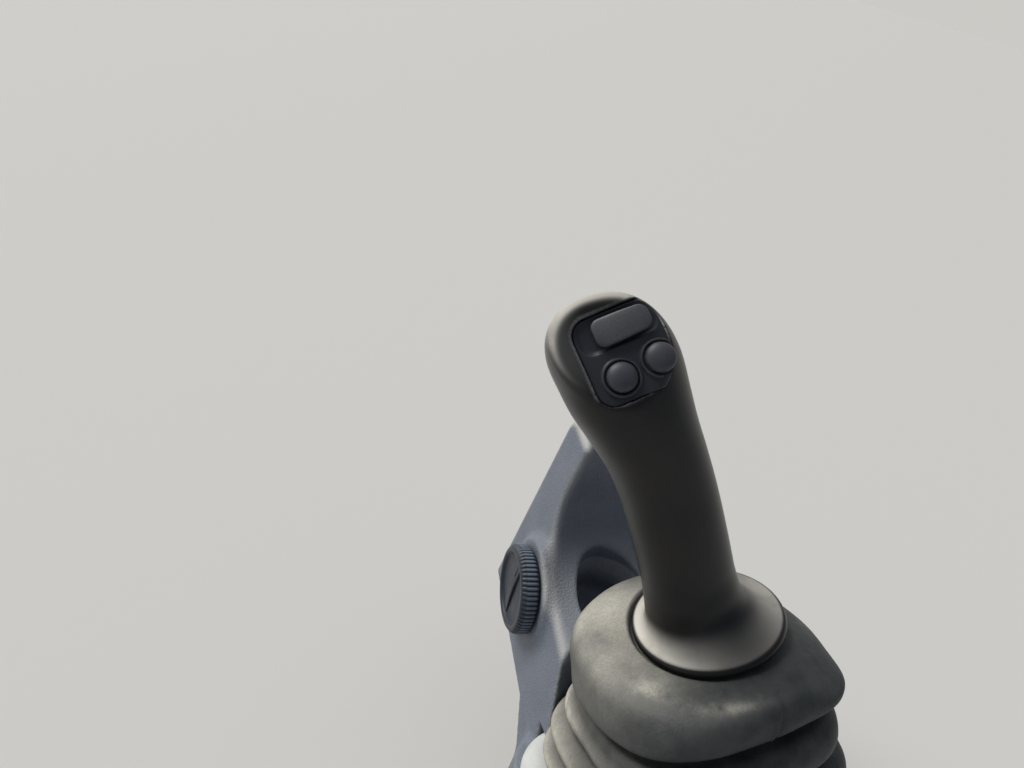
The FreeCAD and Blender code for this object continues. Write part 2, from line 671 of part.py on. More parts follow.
def dial_knob():
    """Knurled dial with a raised bar, on its spindle."""
    base = BOSS_HEIGHT + DIAL_GAP
    top = base + DIAL_THICK
    points = []
    for i in range(2 * KNURL_COUNT):
        radius = DIAL_RADIUS - KNURL_DEPTH * (i % 2)
        angle = math.pi * i / KNURL_COUNT
        points.append(Vector(radius * math.cos(angle), radius * math.sin(angle), base))
    rim = prism(Part.makePolygon(points + [points[0]]), DIAL_THICK)
    turned = Part.makeCylinder(DIAL_RADIUS + KNURL_DEPTH / 4, DIAL_THICK, Vector(0, 0, base))
    turned = turned.makeFillet(2 * KNURL_DEPTH, [turned.Edges[0], turned.Edges[2]])
    knob = turned.common(rim)
    dish = Part.makeCylinder(DIAL_RADIUS - 6, DIAL_DISH + 1, Vector(0, 0, top - DIAL_DISH))
    knob = knob.cut(dish)
    bar = prism(wire_rounded(BAR_HALF_WIDTH, DIAL_RADIUS - 7, BAR_HALF_WIDTH), DIAL_DISH + 1.5)
    bar.translate(Vector(0, 0, top - DIAL_DISH - 1))
    mark = Part.makeBox(1.2, DIAL_RADIUS / 3, 2, Vector(-0.6, DIAL_RADIUS / 3, top - 0.5))
    knob = knob.fuse(bar.cut(mark))
    spindle = Part.makeCylinder(SPINDLE_RADIUS, base + 12, Vector(0, 0, -11))
    return dial_place(knob.fuse(spindle).removeSplitter())


def dial_switch():
    body = Part.makeCylinder(SWITCH_RADIUS, SWITCH_LENGTH, Vector(0, 0, -SWITCH_DROP - SWITCH_LENGTH))
    bush = Part.makeCylinder(SPINDLE_RADIUS + BUSH_WALL, SWITCH_DROP + 1, Vector(0, 0, -SWITCH_DROP))
    hole = Part.makeCylinder(SPINDLE_RADIUS + PIN_GAP, 2 * DIAL_RADIUS, Vector(0, 0, -DIAL_RADIUS))
    return dial_place(body.fuse(bush).cut(hole))


NODES = {
    "pod_shell": pod_shell,
    "boot_collar": boot_collar,
    "carrier": carrier,
    "valve_body": valve_body,
    "port_fittings": port_fittings,
    "valve_flange": valve_flange,
    "gimbal_fork": gimbal_fork,
    "gimbal_cross": gimbal_cross,
    "lever_rod": lever_rod,
    "skirt_disc": skirt_disc,
    "grip": grip,
    "face_panel": face_panel,
    "rocker": rocker,
    "button_left": lambda: button(LEFT_BUTTON),
    "button_right": lambda: button(RIGHT_BUTTON),
    "bezel_left": lambda: bezel(LEFT_BUTTON),
    "bezel_right": lambda: bezel(RIGHT_BUTTON),
    "boot": boot,
    "dial_knob": dial_knob,
    "dial_switch": dial_switch,
}

os.makedirs("parts", exist_ok=True)
for name, make in NODES.items():
    shape = make()
    box = shape.BoundBox
    size = (box.XLength, box.YLength, box.ZLength)
    low = (box.XMin, box.YMin, box.ZMin)
    print(name, shape.isValid(), len(shape.Solids), round(shape.Volume), [round(v, 1) for v in size + low])
    shape.exportStep("parts/" + name + ".step")
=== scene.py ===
# %% [markdown]
# # A control lever with its side console
#
# The lever steers a machine by hand. It has a bent plastic grip on a steel rod, a rubber bellows, a
# pale collar, and a grey moulded console with a pocket and a hand dial. This notebook dresses the
# measured solids. Some keep their shape and only get a finish. Others, such as the grip and the
# bellows, are modelled again as soft, worn forms that stand where the solids are.

# %% Load the measured frame
import json
import math
import bpy
import numpy as np
from mathutils import Matrix, Vector

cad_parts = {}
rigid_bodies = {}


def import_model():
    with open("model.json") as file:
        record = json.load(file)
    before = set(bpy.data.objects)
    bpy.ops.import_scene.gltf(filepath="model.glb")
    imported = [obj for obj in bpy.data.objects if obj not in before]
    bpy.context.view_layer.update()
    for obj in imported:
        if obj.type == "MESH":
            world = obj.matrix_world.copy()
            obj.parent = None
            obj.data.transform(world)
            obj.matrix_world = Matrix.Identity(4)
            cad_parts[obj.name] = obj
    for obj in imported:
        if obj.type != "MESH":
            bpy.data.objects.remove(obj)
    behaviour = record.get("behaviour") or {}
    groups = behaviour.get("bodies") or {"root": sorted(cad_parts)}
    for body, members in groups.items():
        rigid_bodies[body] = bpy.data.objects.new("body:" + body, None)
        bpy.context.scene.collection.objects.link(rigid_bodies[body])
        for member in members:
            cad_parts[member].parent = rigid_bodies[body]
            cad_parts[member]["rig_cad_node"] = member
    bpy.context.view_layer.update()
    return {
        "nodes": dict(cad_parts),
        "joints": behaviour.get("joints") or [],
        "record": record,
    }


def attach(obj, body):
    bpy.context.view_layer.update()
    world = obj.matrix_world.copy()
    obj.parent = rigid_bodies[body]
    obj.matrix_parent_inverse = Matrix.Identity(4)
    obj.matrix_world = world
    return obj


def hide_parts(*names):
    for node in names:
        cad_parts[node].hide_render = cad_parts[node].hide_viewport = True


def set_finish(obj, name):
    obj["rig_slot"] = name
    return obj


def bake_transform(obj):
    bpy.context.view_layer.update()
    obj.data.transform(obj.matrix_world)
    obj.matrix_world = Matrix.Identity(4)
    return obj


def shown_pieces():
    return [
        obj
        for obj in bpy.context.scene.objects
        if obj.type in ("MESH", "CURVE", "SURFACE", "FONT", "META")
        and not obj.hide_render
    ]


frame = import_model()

nodes = frame["nodes"]

# %% [markdown]
# ## Three frames of reference
#
# The lever leans forward 23 degrees, and the grip is cranked 19 degrees inboard, to the hand. It is
# much easier to describe a fold of the bellows in the lever's own frame, and a button in the frame of
# the head's face, than in the room's. So each has a matrix, in millimetres, and every piece is made in
# its own frame and brought to the room at the end.

# %% Frames of the lever, the grip and the face
SEAT_HEIGHT = 147.0
GRIP_BASE = 112.0
LEAN = math.radians(23)
CANT = math.radians(19)
FACE_PLACE = Vector((-23.0, -8.0, 157.0))
FACE_OUT = Vector((-0.30, -0.79, 0.54)).normalized()
FACE_ROLL = math.radians(9)

stick = Matrix.Translation((0, 0, SEAT_HEIGHT)) @ Matrix.Rotation(-LEAN, 4, "X")
grip = stick @ Matrix.Translation((0, 0, GRIP_BASE)) @ Matrix.Rotation(-CANT, 4, "Y")
face_across = Vector((0, 0, 1)).cross(FACE_OUT).normalized()
face_turn = Matrix((face_across, FACE_OUT.cross(face_across), FACE_OUT)).transposed().to_4x4()
face = grip @ Matrix.Translation(FACE_PLACE) @ face_turn @ Matrix.Rotation(FACE_ROLL, 4, "Z")
print("the face looks along", [round(v, 2) for v in face.to_3x3().col[2]])


def placed(points, matrix):
    """Points of a local frame, in millimetres, brought to the room's frame."""
    m = np.array(matrix)
    return points @ m[:3, :3].T + m[:3, 3]


def seen_from(points, matrix):
    """Points of the room's frame, in millimetres, as a local frame sees them."""
    return placed(points, matrix.inverted())


# %% [markdown]
# ## The camera
#
# The lever is seen from above, as whoever holds it sees it. The camera stands where that eye is:
# 0.23 m inboard, 0.10 m behind and 0.52 m above the middle of the foot plate, with a wide lens.

# %% Place the camera
EYE = Vector((-0.2321, -0.1020, 0.5156))
EYE_RIGHT = Vector((0.9063, -0.3555, 0.2285))
EYE_UP = Vector((0.0340, 0.6003, 0.7990))
LENS = 24.37

eye_back = EYE_RIGHT.cross(EYE_UP)
camera = bpy.data.objects.new("camera", bpy.data.cameras.new("camera"))
eye_turn = Matrix((EYE_RIGHT, EYE_UP, eye_back)).transposed().to_4x4()
camera.matrix_world = Matrix.Translation(EYE) @ eye_turn
camera.data.lens = LENS
camera.data.sensor_width = 36
camera.data.clip_start = 0.01
bpy.context.scene.collection.objects.link(camera)
bpy.context.scene.camera = camera
print("the eye is", round((EYE - Vector(grip.translation) / 1000).length, 3), "m from the grip's foot")

# %% [markdown]
# ## Making a mesh from a formula
#
# Moulded plastic has no sharp edges: every edge is a small fillet, and one form flows into the next.
# A distance formula describes that well. It gives each point of space its distance from the surface,
# below zero inside. Two forms merge with a fillet if a soft minimum joins their distances. The
# function below walks a grid, puts one vertex in each cell that the surface crosses, joins them by
# quads, and then moves every vertex onto the surface.

# %% Turn a distance formula into a mesh
def corner_average(values, low, step):
    """One vertex for each cell that the surface crosses, at the mean of its edges' crossings."""
    inside = values < 0
    n = np.array(values.shape) - 1
    count = np.zeros(n, int)
    for i in (0, 1):
        for j in (0, 1):
            for k in (0, 1):
                count += inside[i:n[0] + i, j:n[1] + j, k:n[2] + k]
    cells = np.argwhere((count > 0) & (count < 8))
    total = np.zeros(cells.shape)
    hits = np.zeros(len(cells))
    for axis in range(3):
        along = np.eye(3, dtype=int)[axis]
        others = [np.eye(3, dtype=int)[(axis + s) % 3] for s in (1, 2)]
        for a in (0, 1):
            for b in (0, 1):
                start = cells + a * others[0] + b * others[1]
                v0 = values[tuple(start.T)]
                v1 = values[tuple((start + along).T)]
                crossed = (v0 < 0) != (v1 < 0)
                share = np.where(crossed, v0 / np.where(crossed, v0 - v1, 1), 0)
                total += crossed[:, None] * (start + share[:, None] * along)
                hits += crossed
    number = -np.ones(n, int)
    number[tuple(cells.T)] = np.arange(len(cells))
    return low + step * total / hits[:, None], number, inside


def quads_between(inside, number):
    """A quad round each grid edge whose ends lie on different sides of the surface."""
    found = []
    for axis in range(3):
        a, b = (axis + 1) % 3, (axis + 2) % 3
        change = np.diff(inside.astype(np.int8), axis=axis)
        spots = np.argwhere(change)
        room = np.array(inside.shape) - 1
        kept = (spots[:, a] > 0) & (spots[:, b] > 0) & (spots[:, a] < room[a]) & (spots[:, b] < room[b])
        spots = spots[kept]
        quad = []
        for da, db in ((1, 1), (0, 1), (0, 0), (1, 0)):
            cell = spots.copy()
            cell[:, a] -= da
            cell[:, b] -= db
            quad.append(number[tuple(cell.T)])
        quad = np.stack(quad, 1)
        entering = change[tuple(spots.T)] > 0
        quad[entering] = quad[entering][:, ::-1]
        found.append(quad)
    return np.concatenate(found)


def slope(field, points, reach=0.05):
    """The field's gradient, by central differences."""
    columns = []
    for axis in range(3):
        shift = np.zeros(3)
        shift[axis] = reach
        columns.append((field(points + shift) - field(points - shift)) / (2 * reach))
    return np.stack(columns, 1)


def settle(field, points, step, times):
    """Moves points along the gradient until they lie on the surface."""
    for _ in range(times):
        gradient = slope(field, points)
        move = field(points)[:, None] * gradient / np.maximum((gradient ** 2).sum(1), 0.05)[:, None]
        length = np.linalg.norm(move, axis=1, keepdims=True)
        points = points - move * np.minimum(1, 0.6 * step / np.maximum(length, 1e-9))
    return points


def relaxed(points, quads):
    """Each vertex moved halfway to the mean of its neighbours."""
    total = np.zeros(points.shape)
    hits = np.zeros(len(points))
    for a, b in ((0, 1), (1, 2), (2, 3), (3, 0)):
        for start, end in ((a, b), (b, a)):
            np.add.at(total, quads[:, start], points[quads[:, end]])
            np.add.at(hits, quads[:, start], 1)
    return 0.5 * points + 0.5 * total / hits[:, None]


# %% [markdown]
# The grid is filled in slabs to keep the memory small. After the first settling, one round of
# relaxing evens the quads out, and a last settling brings them back onto the surface.

# %% The mesh maker itself
def new_object(name, points, faces, smooth=True):
    """A mesh object from points in millimetres of the room's frame."""
    mesh = bpy.data.meshes.new(name)
    mesh.from_pydata((np.asarray(points) / 1000).tolist(), [], [list(map(int, f)) for f in faces])
    mesh.validate()
    mesh.polygons.foreach_set("use_smooth", [smooth] * len(mesh.polygons))
    obj = bpy.data.objects.new(name, mesh)
    bpy.context.scene.collection.objects.link(obj)
    return obj


def skin(name, field, low, high, step, matrix, passes=2):
    """The surface where field is zero, between two corners of a local frame."""
    low, high = np.array(low, float), np.array(high, float)
    axes = [np.arange(low[i], high[i] + step, step) for i in range(3)]
    values = np.empty([len(a) for a in axes])
    for i, x in enumerate(axes[0]):
        y, z = np.meshgrid(axes[1], axes[2], indexing="ij")
        slab = np.stack([np.full(y.size, x), y.ravel(), z.ravel()], 1)
        values[i] = field(slab).reshape(y.shape)
    points, number, inside = corner_average(values, low, step)
    quads = quads_between(inside, number)
    for _ in range(passes):
        points = settle(field, points, step, 2)
        points = relaxed(points, quads)
    points = settle(field, points, step, 3)
    obj = new_object(name, placed(points, matrix), quads)
    print(name, "has", len(quads), "quads")
    return obj


# %% [markdown]
# A few small formulas are enough for all the mouldings: a soft minimum and maximum for fillets, a
# rounded rectangle seen from above, and a curve through a short table of numbers.

# %% Small formulas
def soft_min(a, b, fillet):
    """The smaller of two distances, with a fillet where they are nearly equal."""
    overlap = np.maximum(fillet - np.abs(a - b), 0) / fillet
    return np.minimum(a, b) - overlap ** 2 * fillet / 4


def soft_max(a, b, fillet):
    """The larger of two distances, with a fillet where they are nearly equal."""
    return -soft_min(-a, -b, fillet)


def round_max(a, b, radius):
    """The crossing of two half spaces, with a true round of that radius."""
    p, q = a + radius, b + radius
    corner = np.hypot(np.maximum(p, 0), np.maximum(q, 0))
    return corner + np.minimum(np.maximum(p, q), 0) - radius


def rounded_square(x, y, half_x, half_y, corner):
    """Distance from a rectangle with round corners."""
    p, q = np.abs(x) - half_x + corner, np.abs(y) - half_y + corner
    return np.hypot(np.maximum(p, 0), np.maximum(q, 0)) + np.minimum(np.maximum(p, q), 0) - corner


def curve(at, table, column):
    """A smooth line through one column of a table whose first column is the place."""
    rows = np.array(table, float)
    x, y = rows[:, 0], rows[:, column]
    tangent = np.gradient(y, x)
    at = np.clip(at, x[0], x[-1])
    i = np.clip(np.searchsorted(x, at) - 1, 0, len(x) - 2)
    width = x[i + 1] - x[i]
    t = (at - x[i]) / width
    first = (2 * t ** 3 - 3 * t ** 2 + 1) * y[i] + (t ** 3 - 2 * t ** 2 + t) * width * tangent[i]
    return first + (3 * t ** 2 - 2 * t ** 3) * y[i + 1] + (t ** 3 - t ** 2) * width * tangent[i + 1]


# %% [markdown]
# ## The grip
#
# The grip is one moulding: a slightly flattened stem that swells and leans inboard into a head, and a
# flange with a low cone at its foot. Its sections are rounded like an ellipse with fuller corners,
# which a power a little over 2 gives. The head closes above its widest section as half of such a
# body. A plane then cuts the face, with a soft edge all round, and a recess takes the panel.

# %% Formula of the grip
FACE_HALF = 18.5
FACE_LOW = 22.0
FACE_HIGH = 17.0
FACE_CORNER = 8.0
RECESS = 2.9
HEAD_WIDEST = 143.5
HEAD_RISE = 33.0
DISC_RADIUS = 37.5
DISC_THICK = 5.0
RECESS_FILLET = 0.6
FACE_FILLET = 3.2
SKIRT_TOP = 34.0
SKIRT_SCALE = 14.0
RIM_ROUND = 1.7

GRIP_TABLE = (
    # height, shift across, shift forward, half width, half depth
    (-5.0, -6.3, 0.0, 22.5, 19.5),
    (26.0, -6.3, 0.0, 22.5, 19.5),
    (44.0, -6.9, 0.3, 22.5, 19.5),
    (62.0, -7.7, 0.6, 22.4, 19.4),
    (80.0, -8.9, 1.0, 22.2, 19.5),
    (98.0, -11.7, 1.6, 22.8, 20.4),
    (114.0, -15.4, 2.6, 24.4, 21.9),
    (128.0, -18.3, 3.8, 26.4, 23.5),
    (142.0, -20.3, 4.8, 27.5, 24.5),
    (154.0, -22.5, 5.4, 27.9, 24.7),
    (164.0, -23.9, 5.8, 28.1, 24.8),
    (180.0, -25.0, 6.0, 28.2, 24.8),
)
SKIRT_TABLE = (
    # height, shift across, shift forward, half width, half depth
    (-5.0, 0.6, 0.0, 37.0, 37.0),
    (0.0, -0.4, 0.0, 33.8, 33.4),
    (2.6, -1.6, 0.0, 30.6, 29.4),
    (7.5, -3.6, 0.0, 26.4, 24.2),
    (15.0, -5.4, 0.0, 23.4, 20.7),
    (24.0, -6.2, 0.0, 21.6, 18.8),
    (36.0, -6.7, 0.1, 17.6, 15.0),
)


def face_outline(x, y, gap=0.0):
    """Distance from the outline of the recess, or from one that is smaller by a gap all round."""
    half = (FACE_LOW + FACE_HIGH) / 2
    return rounded_square(x, y + (FACE_LOW - FACE_HIGH) / 2, FACE_HALF - gap, half - gap, FACE_CORNER - gap)


def face_recess(p):
    """Distance from the block that the panel sits in, and from the plane of the face."""
    x, y, z = seen_from(placed(p, grip), face).T
    return soft_max(face_outline(x, y), -z - RECESS, RECESS_FILLET), z


def rounded_section(p, table):
    """1 on the outline of a flattened, tapered body that a table describes, less inside."""
    x, y, z = p.T
    across = np.abs(x - curve(z, table, 1)) / curve(z, table, 3)
    along = np.abs(y - curve(z, table, 2)) / curve(z, table, 4)
    return (across ** 2.25 + along ** 2.25) ** (1 / 2.25)


def grip_body(p):
    """Distance, near enough, from the stem and the closed head."""
    rise = np.maximum(p[:, 2] - HEAD_WIDEST, 0) / HEAD_RISE
    section = rounded_section(p, GRIP_TABLE)
    return ((section ** 2.3 + rise ** 2.3) ** (1 / 2.3) - 1) * curve(p[:, 2], GRIP_TABLE, 4)


def grip_foot(p):
    """Flange with a round rim, and the skirt that runs up from it into the stem."""
    x, y, z = p.T
    flange = round_max(np.hypot(x, y) - DISC_RADIUS, np.abs(z + DISC_THICK / 2) - DISC_THICK / 2, RIM_ROUND)
    skirt = (rounded_section(p, SKIRT_TABLE) - 1) * SKIRT_SCALE
    return soft_min(flange, soft_max(soft_max(skirt, -z - 3, 1.0), z - SKIRT_TOP, 1.0), 2.0)


def grip_field(p):
    """Distance from the whole grip, in its own frame."""
    body = soft_max(grip_body(p), -p[:, 2] - DISC_THICK, 0.8)
    shape = soft_min(body, grip_foot(p), 3.0)
    shape = soft_max(shape, -p[:, 2] - DISC_THICK, 1.0)
    recess, out = face_recess(p)
    shape = soft_max(shape, out, FACE_FILLET)
    return soft_max(shape, -recess, RECESS_FILLET)


# %% Make the grip
def mark(obj, name, values):
    """Stores one number for each vertex, for the materials to read."""
    layer = obj.data.attributes.new(name, "FLOAT", "POINT")
    layer.data.foreach_set("value", np.asarray(values, np.float32))


def places(obj):
    """An object's vertices in millimetres of the room's frame."""
    flat = np.empty(len(obj.data.vertices) * 3)
    obj.data.vertices.foreach_get("co", flat)
    return flat.reshape(-1, 3) * 1000


def ramp(value, start, end):
    """0 before start, 1 after end, smooth between."""
    t = np.clip((value - start) / (end - start), 0, 1)
    return t * t * (3 - 2 * t)


grip_piece = skin("grip_moulding", grip_field, (-56, -40, -7), (40, 40, 179), 0.85, grip)
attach(grip_piece, "lever")
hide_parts("grip", "skirt_disc")
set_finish(grip_piece, "grip_plastic")

# %% [markdown]
# Two marks are stored on the grip for its material. The first is wear and sheen: the lip of the recess is
# rubbed to a lighter grey, most of all on the inboard side, where the palm slides over it. The crown of
# the head there is lighter too, which is a painted sheen.

# %% Mark where the grip is worn
spots = places(grip_piece)
across, upward, out = seen_from(spots, face).T
side, ahead, height = seen_from(spots, grip).T
lip = np.abs(face_outline(across, upward) - 0.3)
rubbed = ramp(-lip, -1.3, -0.3) * ramp(out, -1.6, -0.7)
# The crown is a painted sheen where light falls on the head, stored with the worn lip.
crown = ramp(height, 138, 158) * ramp(-side, 30, 46) * ramp(ahead, -22, -6)
mark(grip_piece, "worn", np.maximum(rubbed * (0.45 + 0.55 * ramp(-across, -6, 14)), 0.42 * crown))
print("worn lip on", int((rubbed > 0.5).sum()), "vertices")

# %% [markdown]
# The second is pale dust, and it carries painted light and shade too. Where the crown faces the sun,
# inboard and up, it is a painted highlight. On the flange, dust lies thick at the inboard rim, thinner on
# the right and thinnest at the back, and is gone near the stem: this also paints the flange's light and
# shade.

# %% Mark where the grip is bleached and dusty
SUN_SIDE = Vector((-0.60, 0.20, 0.77)).normalized()

facing = np.empty(len(spots) * 3, np.float32)
grip_piece.data.vertex_normals.foreach_get("vector", facing)
# Painted highlight: what faces the sun on the crown gets the pale dust colour.
sunlit = ramp(facing.reshape(-1, 3) @ np.array(SUN_SIDE), 0.48, 0.86)
painted_sunlight = sunlit * ramp(height, 138, 156) * ramp(-out, 0, 1.0)
reach = np.hypot(side, ahead)
# The share by direction and the clearing near the stem paint the flange's light and shade over its dust.
outboard = (side * 0.94 - ahead * 0.34) / np.maximum(reach, 1)
share = 0.07 + 0.93 * (0.5 - 0.5 * outboard) ** 2.4 + 0.50 * np.maximum(outboard, 0) ** 2
lying = ramp(reach, 14, 28) * ramp(-reach, -36.9, -35.6) * ramp(-height, -14, -1) * ramp(height, -0.9, -0.1)
mark(grip_piece, "dusty", np.maximum(lying * share, 0.8 * painted_sunlight))
print("dust on", int((lying > 0.5).sum()), "vertices")

# %% [markdown]
# ## The panel on the head
#
# A thin panel fills the recess. Round the thumb rocker it has a trough, so that the thumb can reach
# the rocker's ends, and each button stands in a well with a raised ring. On the right the panel runs
# out over the side of the head, and there it ends flush with the head's own surface.

# %% Formula of the panel
PANEL_LEVEL = -1.2
PANEL_THICK = 4.0
PANEL_GAP = 0.3
ROCKER = (2.5, 8.1, 12.5, 6.4)
LEFT_BUTTON = (-6.1, -11.7)
RIGHT_BUTTON = (11.4, -10.2)
BUTTON_RADIUS = 6.3
TROUGH = (0.2, 8.6, 17.0, 7.6)
TROUGH_DEPTH = 1.5
RING_RADIUS = 7.6
RING_HALF = 0.6
BUTTON_GAP = 0.5


def panel_field(p):
    """Distance from the panel, in the frame of the face."""
    x, y, z = p.T
    outline = face_outline(x, y, PANEL_GAP)
    crown = 0.0018 * (x ** 2 + y ** 2)
    shape = round_max(outline, np.maximum(z - PANEL_LEVEL + crown, -z - PANEL_THICK), 0.5)
    cx, cy, hx, hy = TROUGH
    trough = soft_max(rounded_square(x - cx, y - cy, hx, hy, 5.5), PANEL_LEVEL - TROUGH_DEPTH - z, 2.4)
    shape = soft_max(shape, -trough, 0.8)
    for bx, by in (LEFT_BUTTON, RIGHT_BUTTON):
        r = np.hypot(x - bx, y - by)
        ring = np.hypot(np.maximum(np.abs(r - RING_RADIUS) - 0.1, 0), z - PANEL_LEVEL - 0.2) - RING_HALF
        shape = soft_min(shape, ring, 0.5)
        shape = soft_max(shape, BUTTON_RADIUS + BUTTON_GAP - r, 0.4)
    return soft_max(shape, grip_body(seen_from(placed(p, face), grip)) - 0.1, 0.8)


# %% Make the panel
panel_piece = skin("face_panel_moulding", panel_field, (-20, -24, -5), (20, 19, 1.5), 0.42, face)
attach(panel_piece, "lever")
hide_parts("face_panel", "bezel_left", "bezel_right")
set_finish(panel_piece, "face_plastic")

# %% [markdown]
# ## Rocker and buttons
#
# The thumb rocker is a crowned pad with fine ribs across it, so that a gloved thumb doesn't slip. Its
# ribs are real relief. Its underside rises towards both ends, which leaves room for the tilt. The
# buttons are rubber domes: a lathe profile, turned in steps, is the simplest way to make one.

# %% Formula of the rocker
RIB_PITCH = 0.95
RIB_RELIEF = 0.16
ROCKER_FOOT = -2.4
ROCKER_SLOPE = 0.17


def rocker_field(p):
    """Distance from the pad, in the frame of the face, with its ribs on the upper side only."""
    cx, cy, hx, hy = ROCKER
    x, y, z = p[:, 0] - cx, p[:, 1] - cy, p[:, 2]
    taper = hy - 0.035 * (x + hx)
    outline = rounded_square(x, y, hx, taper, 4.2)
    top = 2.7 - 0.010 * x ** 2 - 0.020 * y ** 2
    inner = np.clip(-outline - 1.2, 0, 1)
    ribs = RIB_RELIEF * inner * np.cos(2 * math.pi * (x + 0.35 * y) / RIB_PITCH)
    under = ROCKER_FOOT + ROCKER_SLOPE * np.abs(x)
    return round_max(outline, np.maximum(z - top, under - z), 1.0) - ribs * (z > 0)


rocker_piece = skin("thumb_rocker", rocker_field, (-11, 0.5, -3), (16.5, 16, 4), 0.26, face, passes=1)
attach(rocker_piece, "rocker")
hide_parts("rocker")
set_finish(rocker_piece, "button_rubber")
mark(rocker_piece, "worn", 0.5 * ramp(seen_from(places(rocker_piece), face)[:, 2], 0.5, 2.2))


# %% A lathe, and the two buttons
def lathe(name, profile, matrix, turns=72, centre=(0, 0), radius_at=None):
    """Turns (radius, height) points round the local Z axis and closes both ends at the axis."""
    rows = []
    for r, z in profile:
        angle = np.arange(turns) * 2 * math.pi / turns
        radius = r if radius_at is None else radius_at(r, z, angle)
        rows.append(np.stack([centre[0] + radius * np.cos(angle), centre[1] + radius * np.sin(angle),
                              np.full(turns, float(z))], 1))
    points = np.concatenate(rows)
    faces = []
    for row in range(len(profile) - 1):
        for i in range(turns):
            j = (i + 1) % turns
            faces.append((row * turns + i, row * turns + j, (row + 1) * turns + j, (row + 1) * turns + i))
    ends = []
    for row, z in ((0, profile[0][1]), (len(profile) - 1, profile[-1][1])):
        ends.append(len(points))
        points = np.concatenate([points, [[centre[0], centre[1], z]]])
        for i in range(turns):
            ring = (row * turns + i, row * turns + (i + 1) % turns)
            faces.append((ends[-1], *(ring[::-1] if row == 0 else ring)))
    return new_object(name, placed(points, matrix), faces)


def dome_profile(radius, foot, rim, rise, steps=14):
    """Radius and height of a straight side with a domed top on it."""
    profile = [(radius * 0.98, foot), (radius, foot + 0.2), (radius, rim - 0.5), (radius - 0.08, rim - 0.15)]
    for i in range(steps):
        angle = math.pi / 2 * (i + 1) / (steps + 1)
        profile.append((radius * math.cos(angle) ** 0.92, rim + rise * math.sin(angle)))
    return profile


BUTTON_FOOT = -1.3
BUTTON_RIM = 0.1
BUTTON_RISE = 3.1

button_profile = dome_profile(BUTTON_RADIUS, BUTTON_FOOT, BUTTON_RIM, BUTTON_RISE)
for name, spot in (("left", LEFT_BUTTON), ("right", RIGHT_BUTTON)):
    dome = lathe("push_button_" + name, button_profile, face, centre=spot)
    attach(dome, "button_" + name)
    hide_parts("button_" + name)
    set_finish(dome, "button_rubber")
    print("push button", name, "at", spot)

# %% [markdown]
# ## The bellows
#
# The boot is a stack of rounded squares. Each row of the table is one ring: its height on the lever,
# its half width, and nothing more, because corners, cant and spin follow from the height. Close rows
# make the rolled lip of a fold and the narrow groove under it. The rubber has hung for years, so the
# rings are a little uneven, and one corner has a crease.

# %% Rings of the bellows
BOOT_TABLE = (
    # height on the lever, half width
    (5.7, 62.4), (8.4, 62.0), (10.8, 60.6), (12.2, 59.4), (13.6, 60.6), (16.6, 65.4), (21.4, 68.0),
    (26.2, 66.4), (29.4, 62.2), (30.9, 58.8), (32.4, 60.0), (35.6, 64.8), (40.3, 66.7), (45.0, 64.6),
    (48.0, 59.6), (49.3, 55.8), (50.6, 56.6), (53.6, 60.6), (58.3, 62.2), (64.6, 61.2), (69.6, 57.8),
    (71.6, 54.0), (73.2, 53.0), (75.2, 55.6), (77.0, 59.8), (78.8, 61.6), (82.0, 62.2), (86.0, 62.0),
    (90.5, 61.0), (94.6, 59.2), (98.0, 56.2), (100.8, 52.0), (102.8, 46.6), (104.0, 41.0), (104.7, 35.6),
    (105.0, 31.0),
)
FOLD_LIPS = (21.4, 40.3, 58.3, 79.5)
BOOT_FOOT = 5.7
BOOT_TOP = 105.0
FOLD_SPIN = math.radians(-7)
SPLIT_HEIGHT = 49.3
BOOT_WALL = 2.0

FOLD_TILT = (
    # share of the way up, cant towards the grip, lean forward, both in degrees
    (0.00, 0.0, 0.0),
    (0.18, 4.0, 5.5),
    (0.35, 8.0, 8.0),
    (0.53, 9.6, 8.2),
    (0.73, 10.0, 8.0),
    (0.93, 7.5, 3.0),
    (1.00, 11.0, 0.0),
)


def ring_matrix(height):
    """Frame of the ring at that height: canted towards the grip's, and spun a little halfway up."""
    share = min(max((height - BOOT_FOOT) / (BOOT_TOP - BOOT_FOOT), 0), 1)
    cant, lean = (math.radians(float(curve(np.array([share]), FOLD_TILT, i)[0])) for i in (1, 2))
    spin = Matrix.Rotation(FOLD_SPIN * math.sin(math.pi * share) ** 0.8, 4, "Z")
    turn = Matrix.Rotation(-cant, 4, "Y") @ Matrix.Rotation(-lean, 4, "X")
    return Matrix.Translation((0, 0, height)) @ turn @ spin


def square_ring(half, corner_share, count):
    """Points round a rounded square, evenly spaced by angle."""
    angle = (np.arange(count) + 0.5) * 2 * math.pi / count
    power = 2 + 3.2 * (1 - corner_share)
    reach = (np.abs(np.cos(angle)) ** power + np.abs(np.sin(angle)) ** power) ** (-1 / power)
    return angle, half * reach


# %% [markdown]
# Low waves along each ring, different from fold to fold, keep the rubber from looking turned on a
# lathe. They come from sines with fixed phases, so each run gives the same boot. The top fold is a
# cap. It is pushed forward and lifted in front, because the lever leans that way, it is pulled out to
# a corner on the right, and a crease runs down beside that corner. Under the flange of the grip, the
# cap is pressed flat. In front, where the cap would meet the console when the lever leans forward, its
# lower rim is tucked in.

# %% Formulas of the uneven rubber
AROUND = 300
PUSH_ANGLE = math.radians(100)
PUSH = 4.0
LIFT = 6.0
CORNER_ANGLE = math.radians(-48)
CORNER_PULL = 4.0
CREASE_ANGLE = math.radians(-86)
PAINTED_SUN_ANGLE = math.radians(150)
TUCK_ANGLE = math.radians(98)
TUCK = 12.5
FLANGE_ROOM = 37.9


def hump(angle, middle, width):
    """A smooth bump of height 1 round one direction."""
    away = (angle - middle + math.pi) % (2 * math.pi) - math.pi
    return np.exp(-(away / width) ** 2)


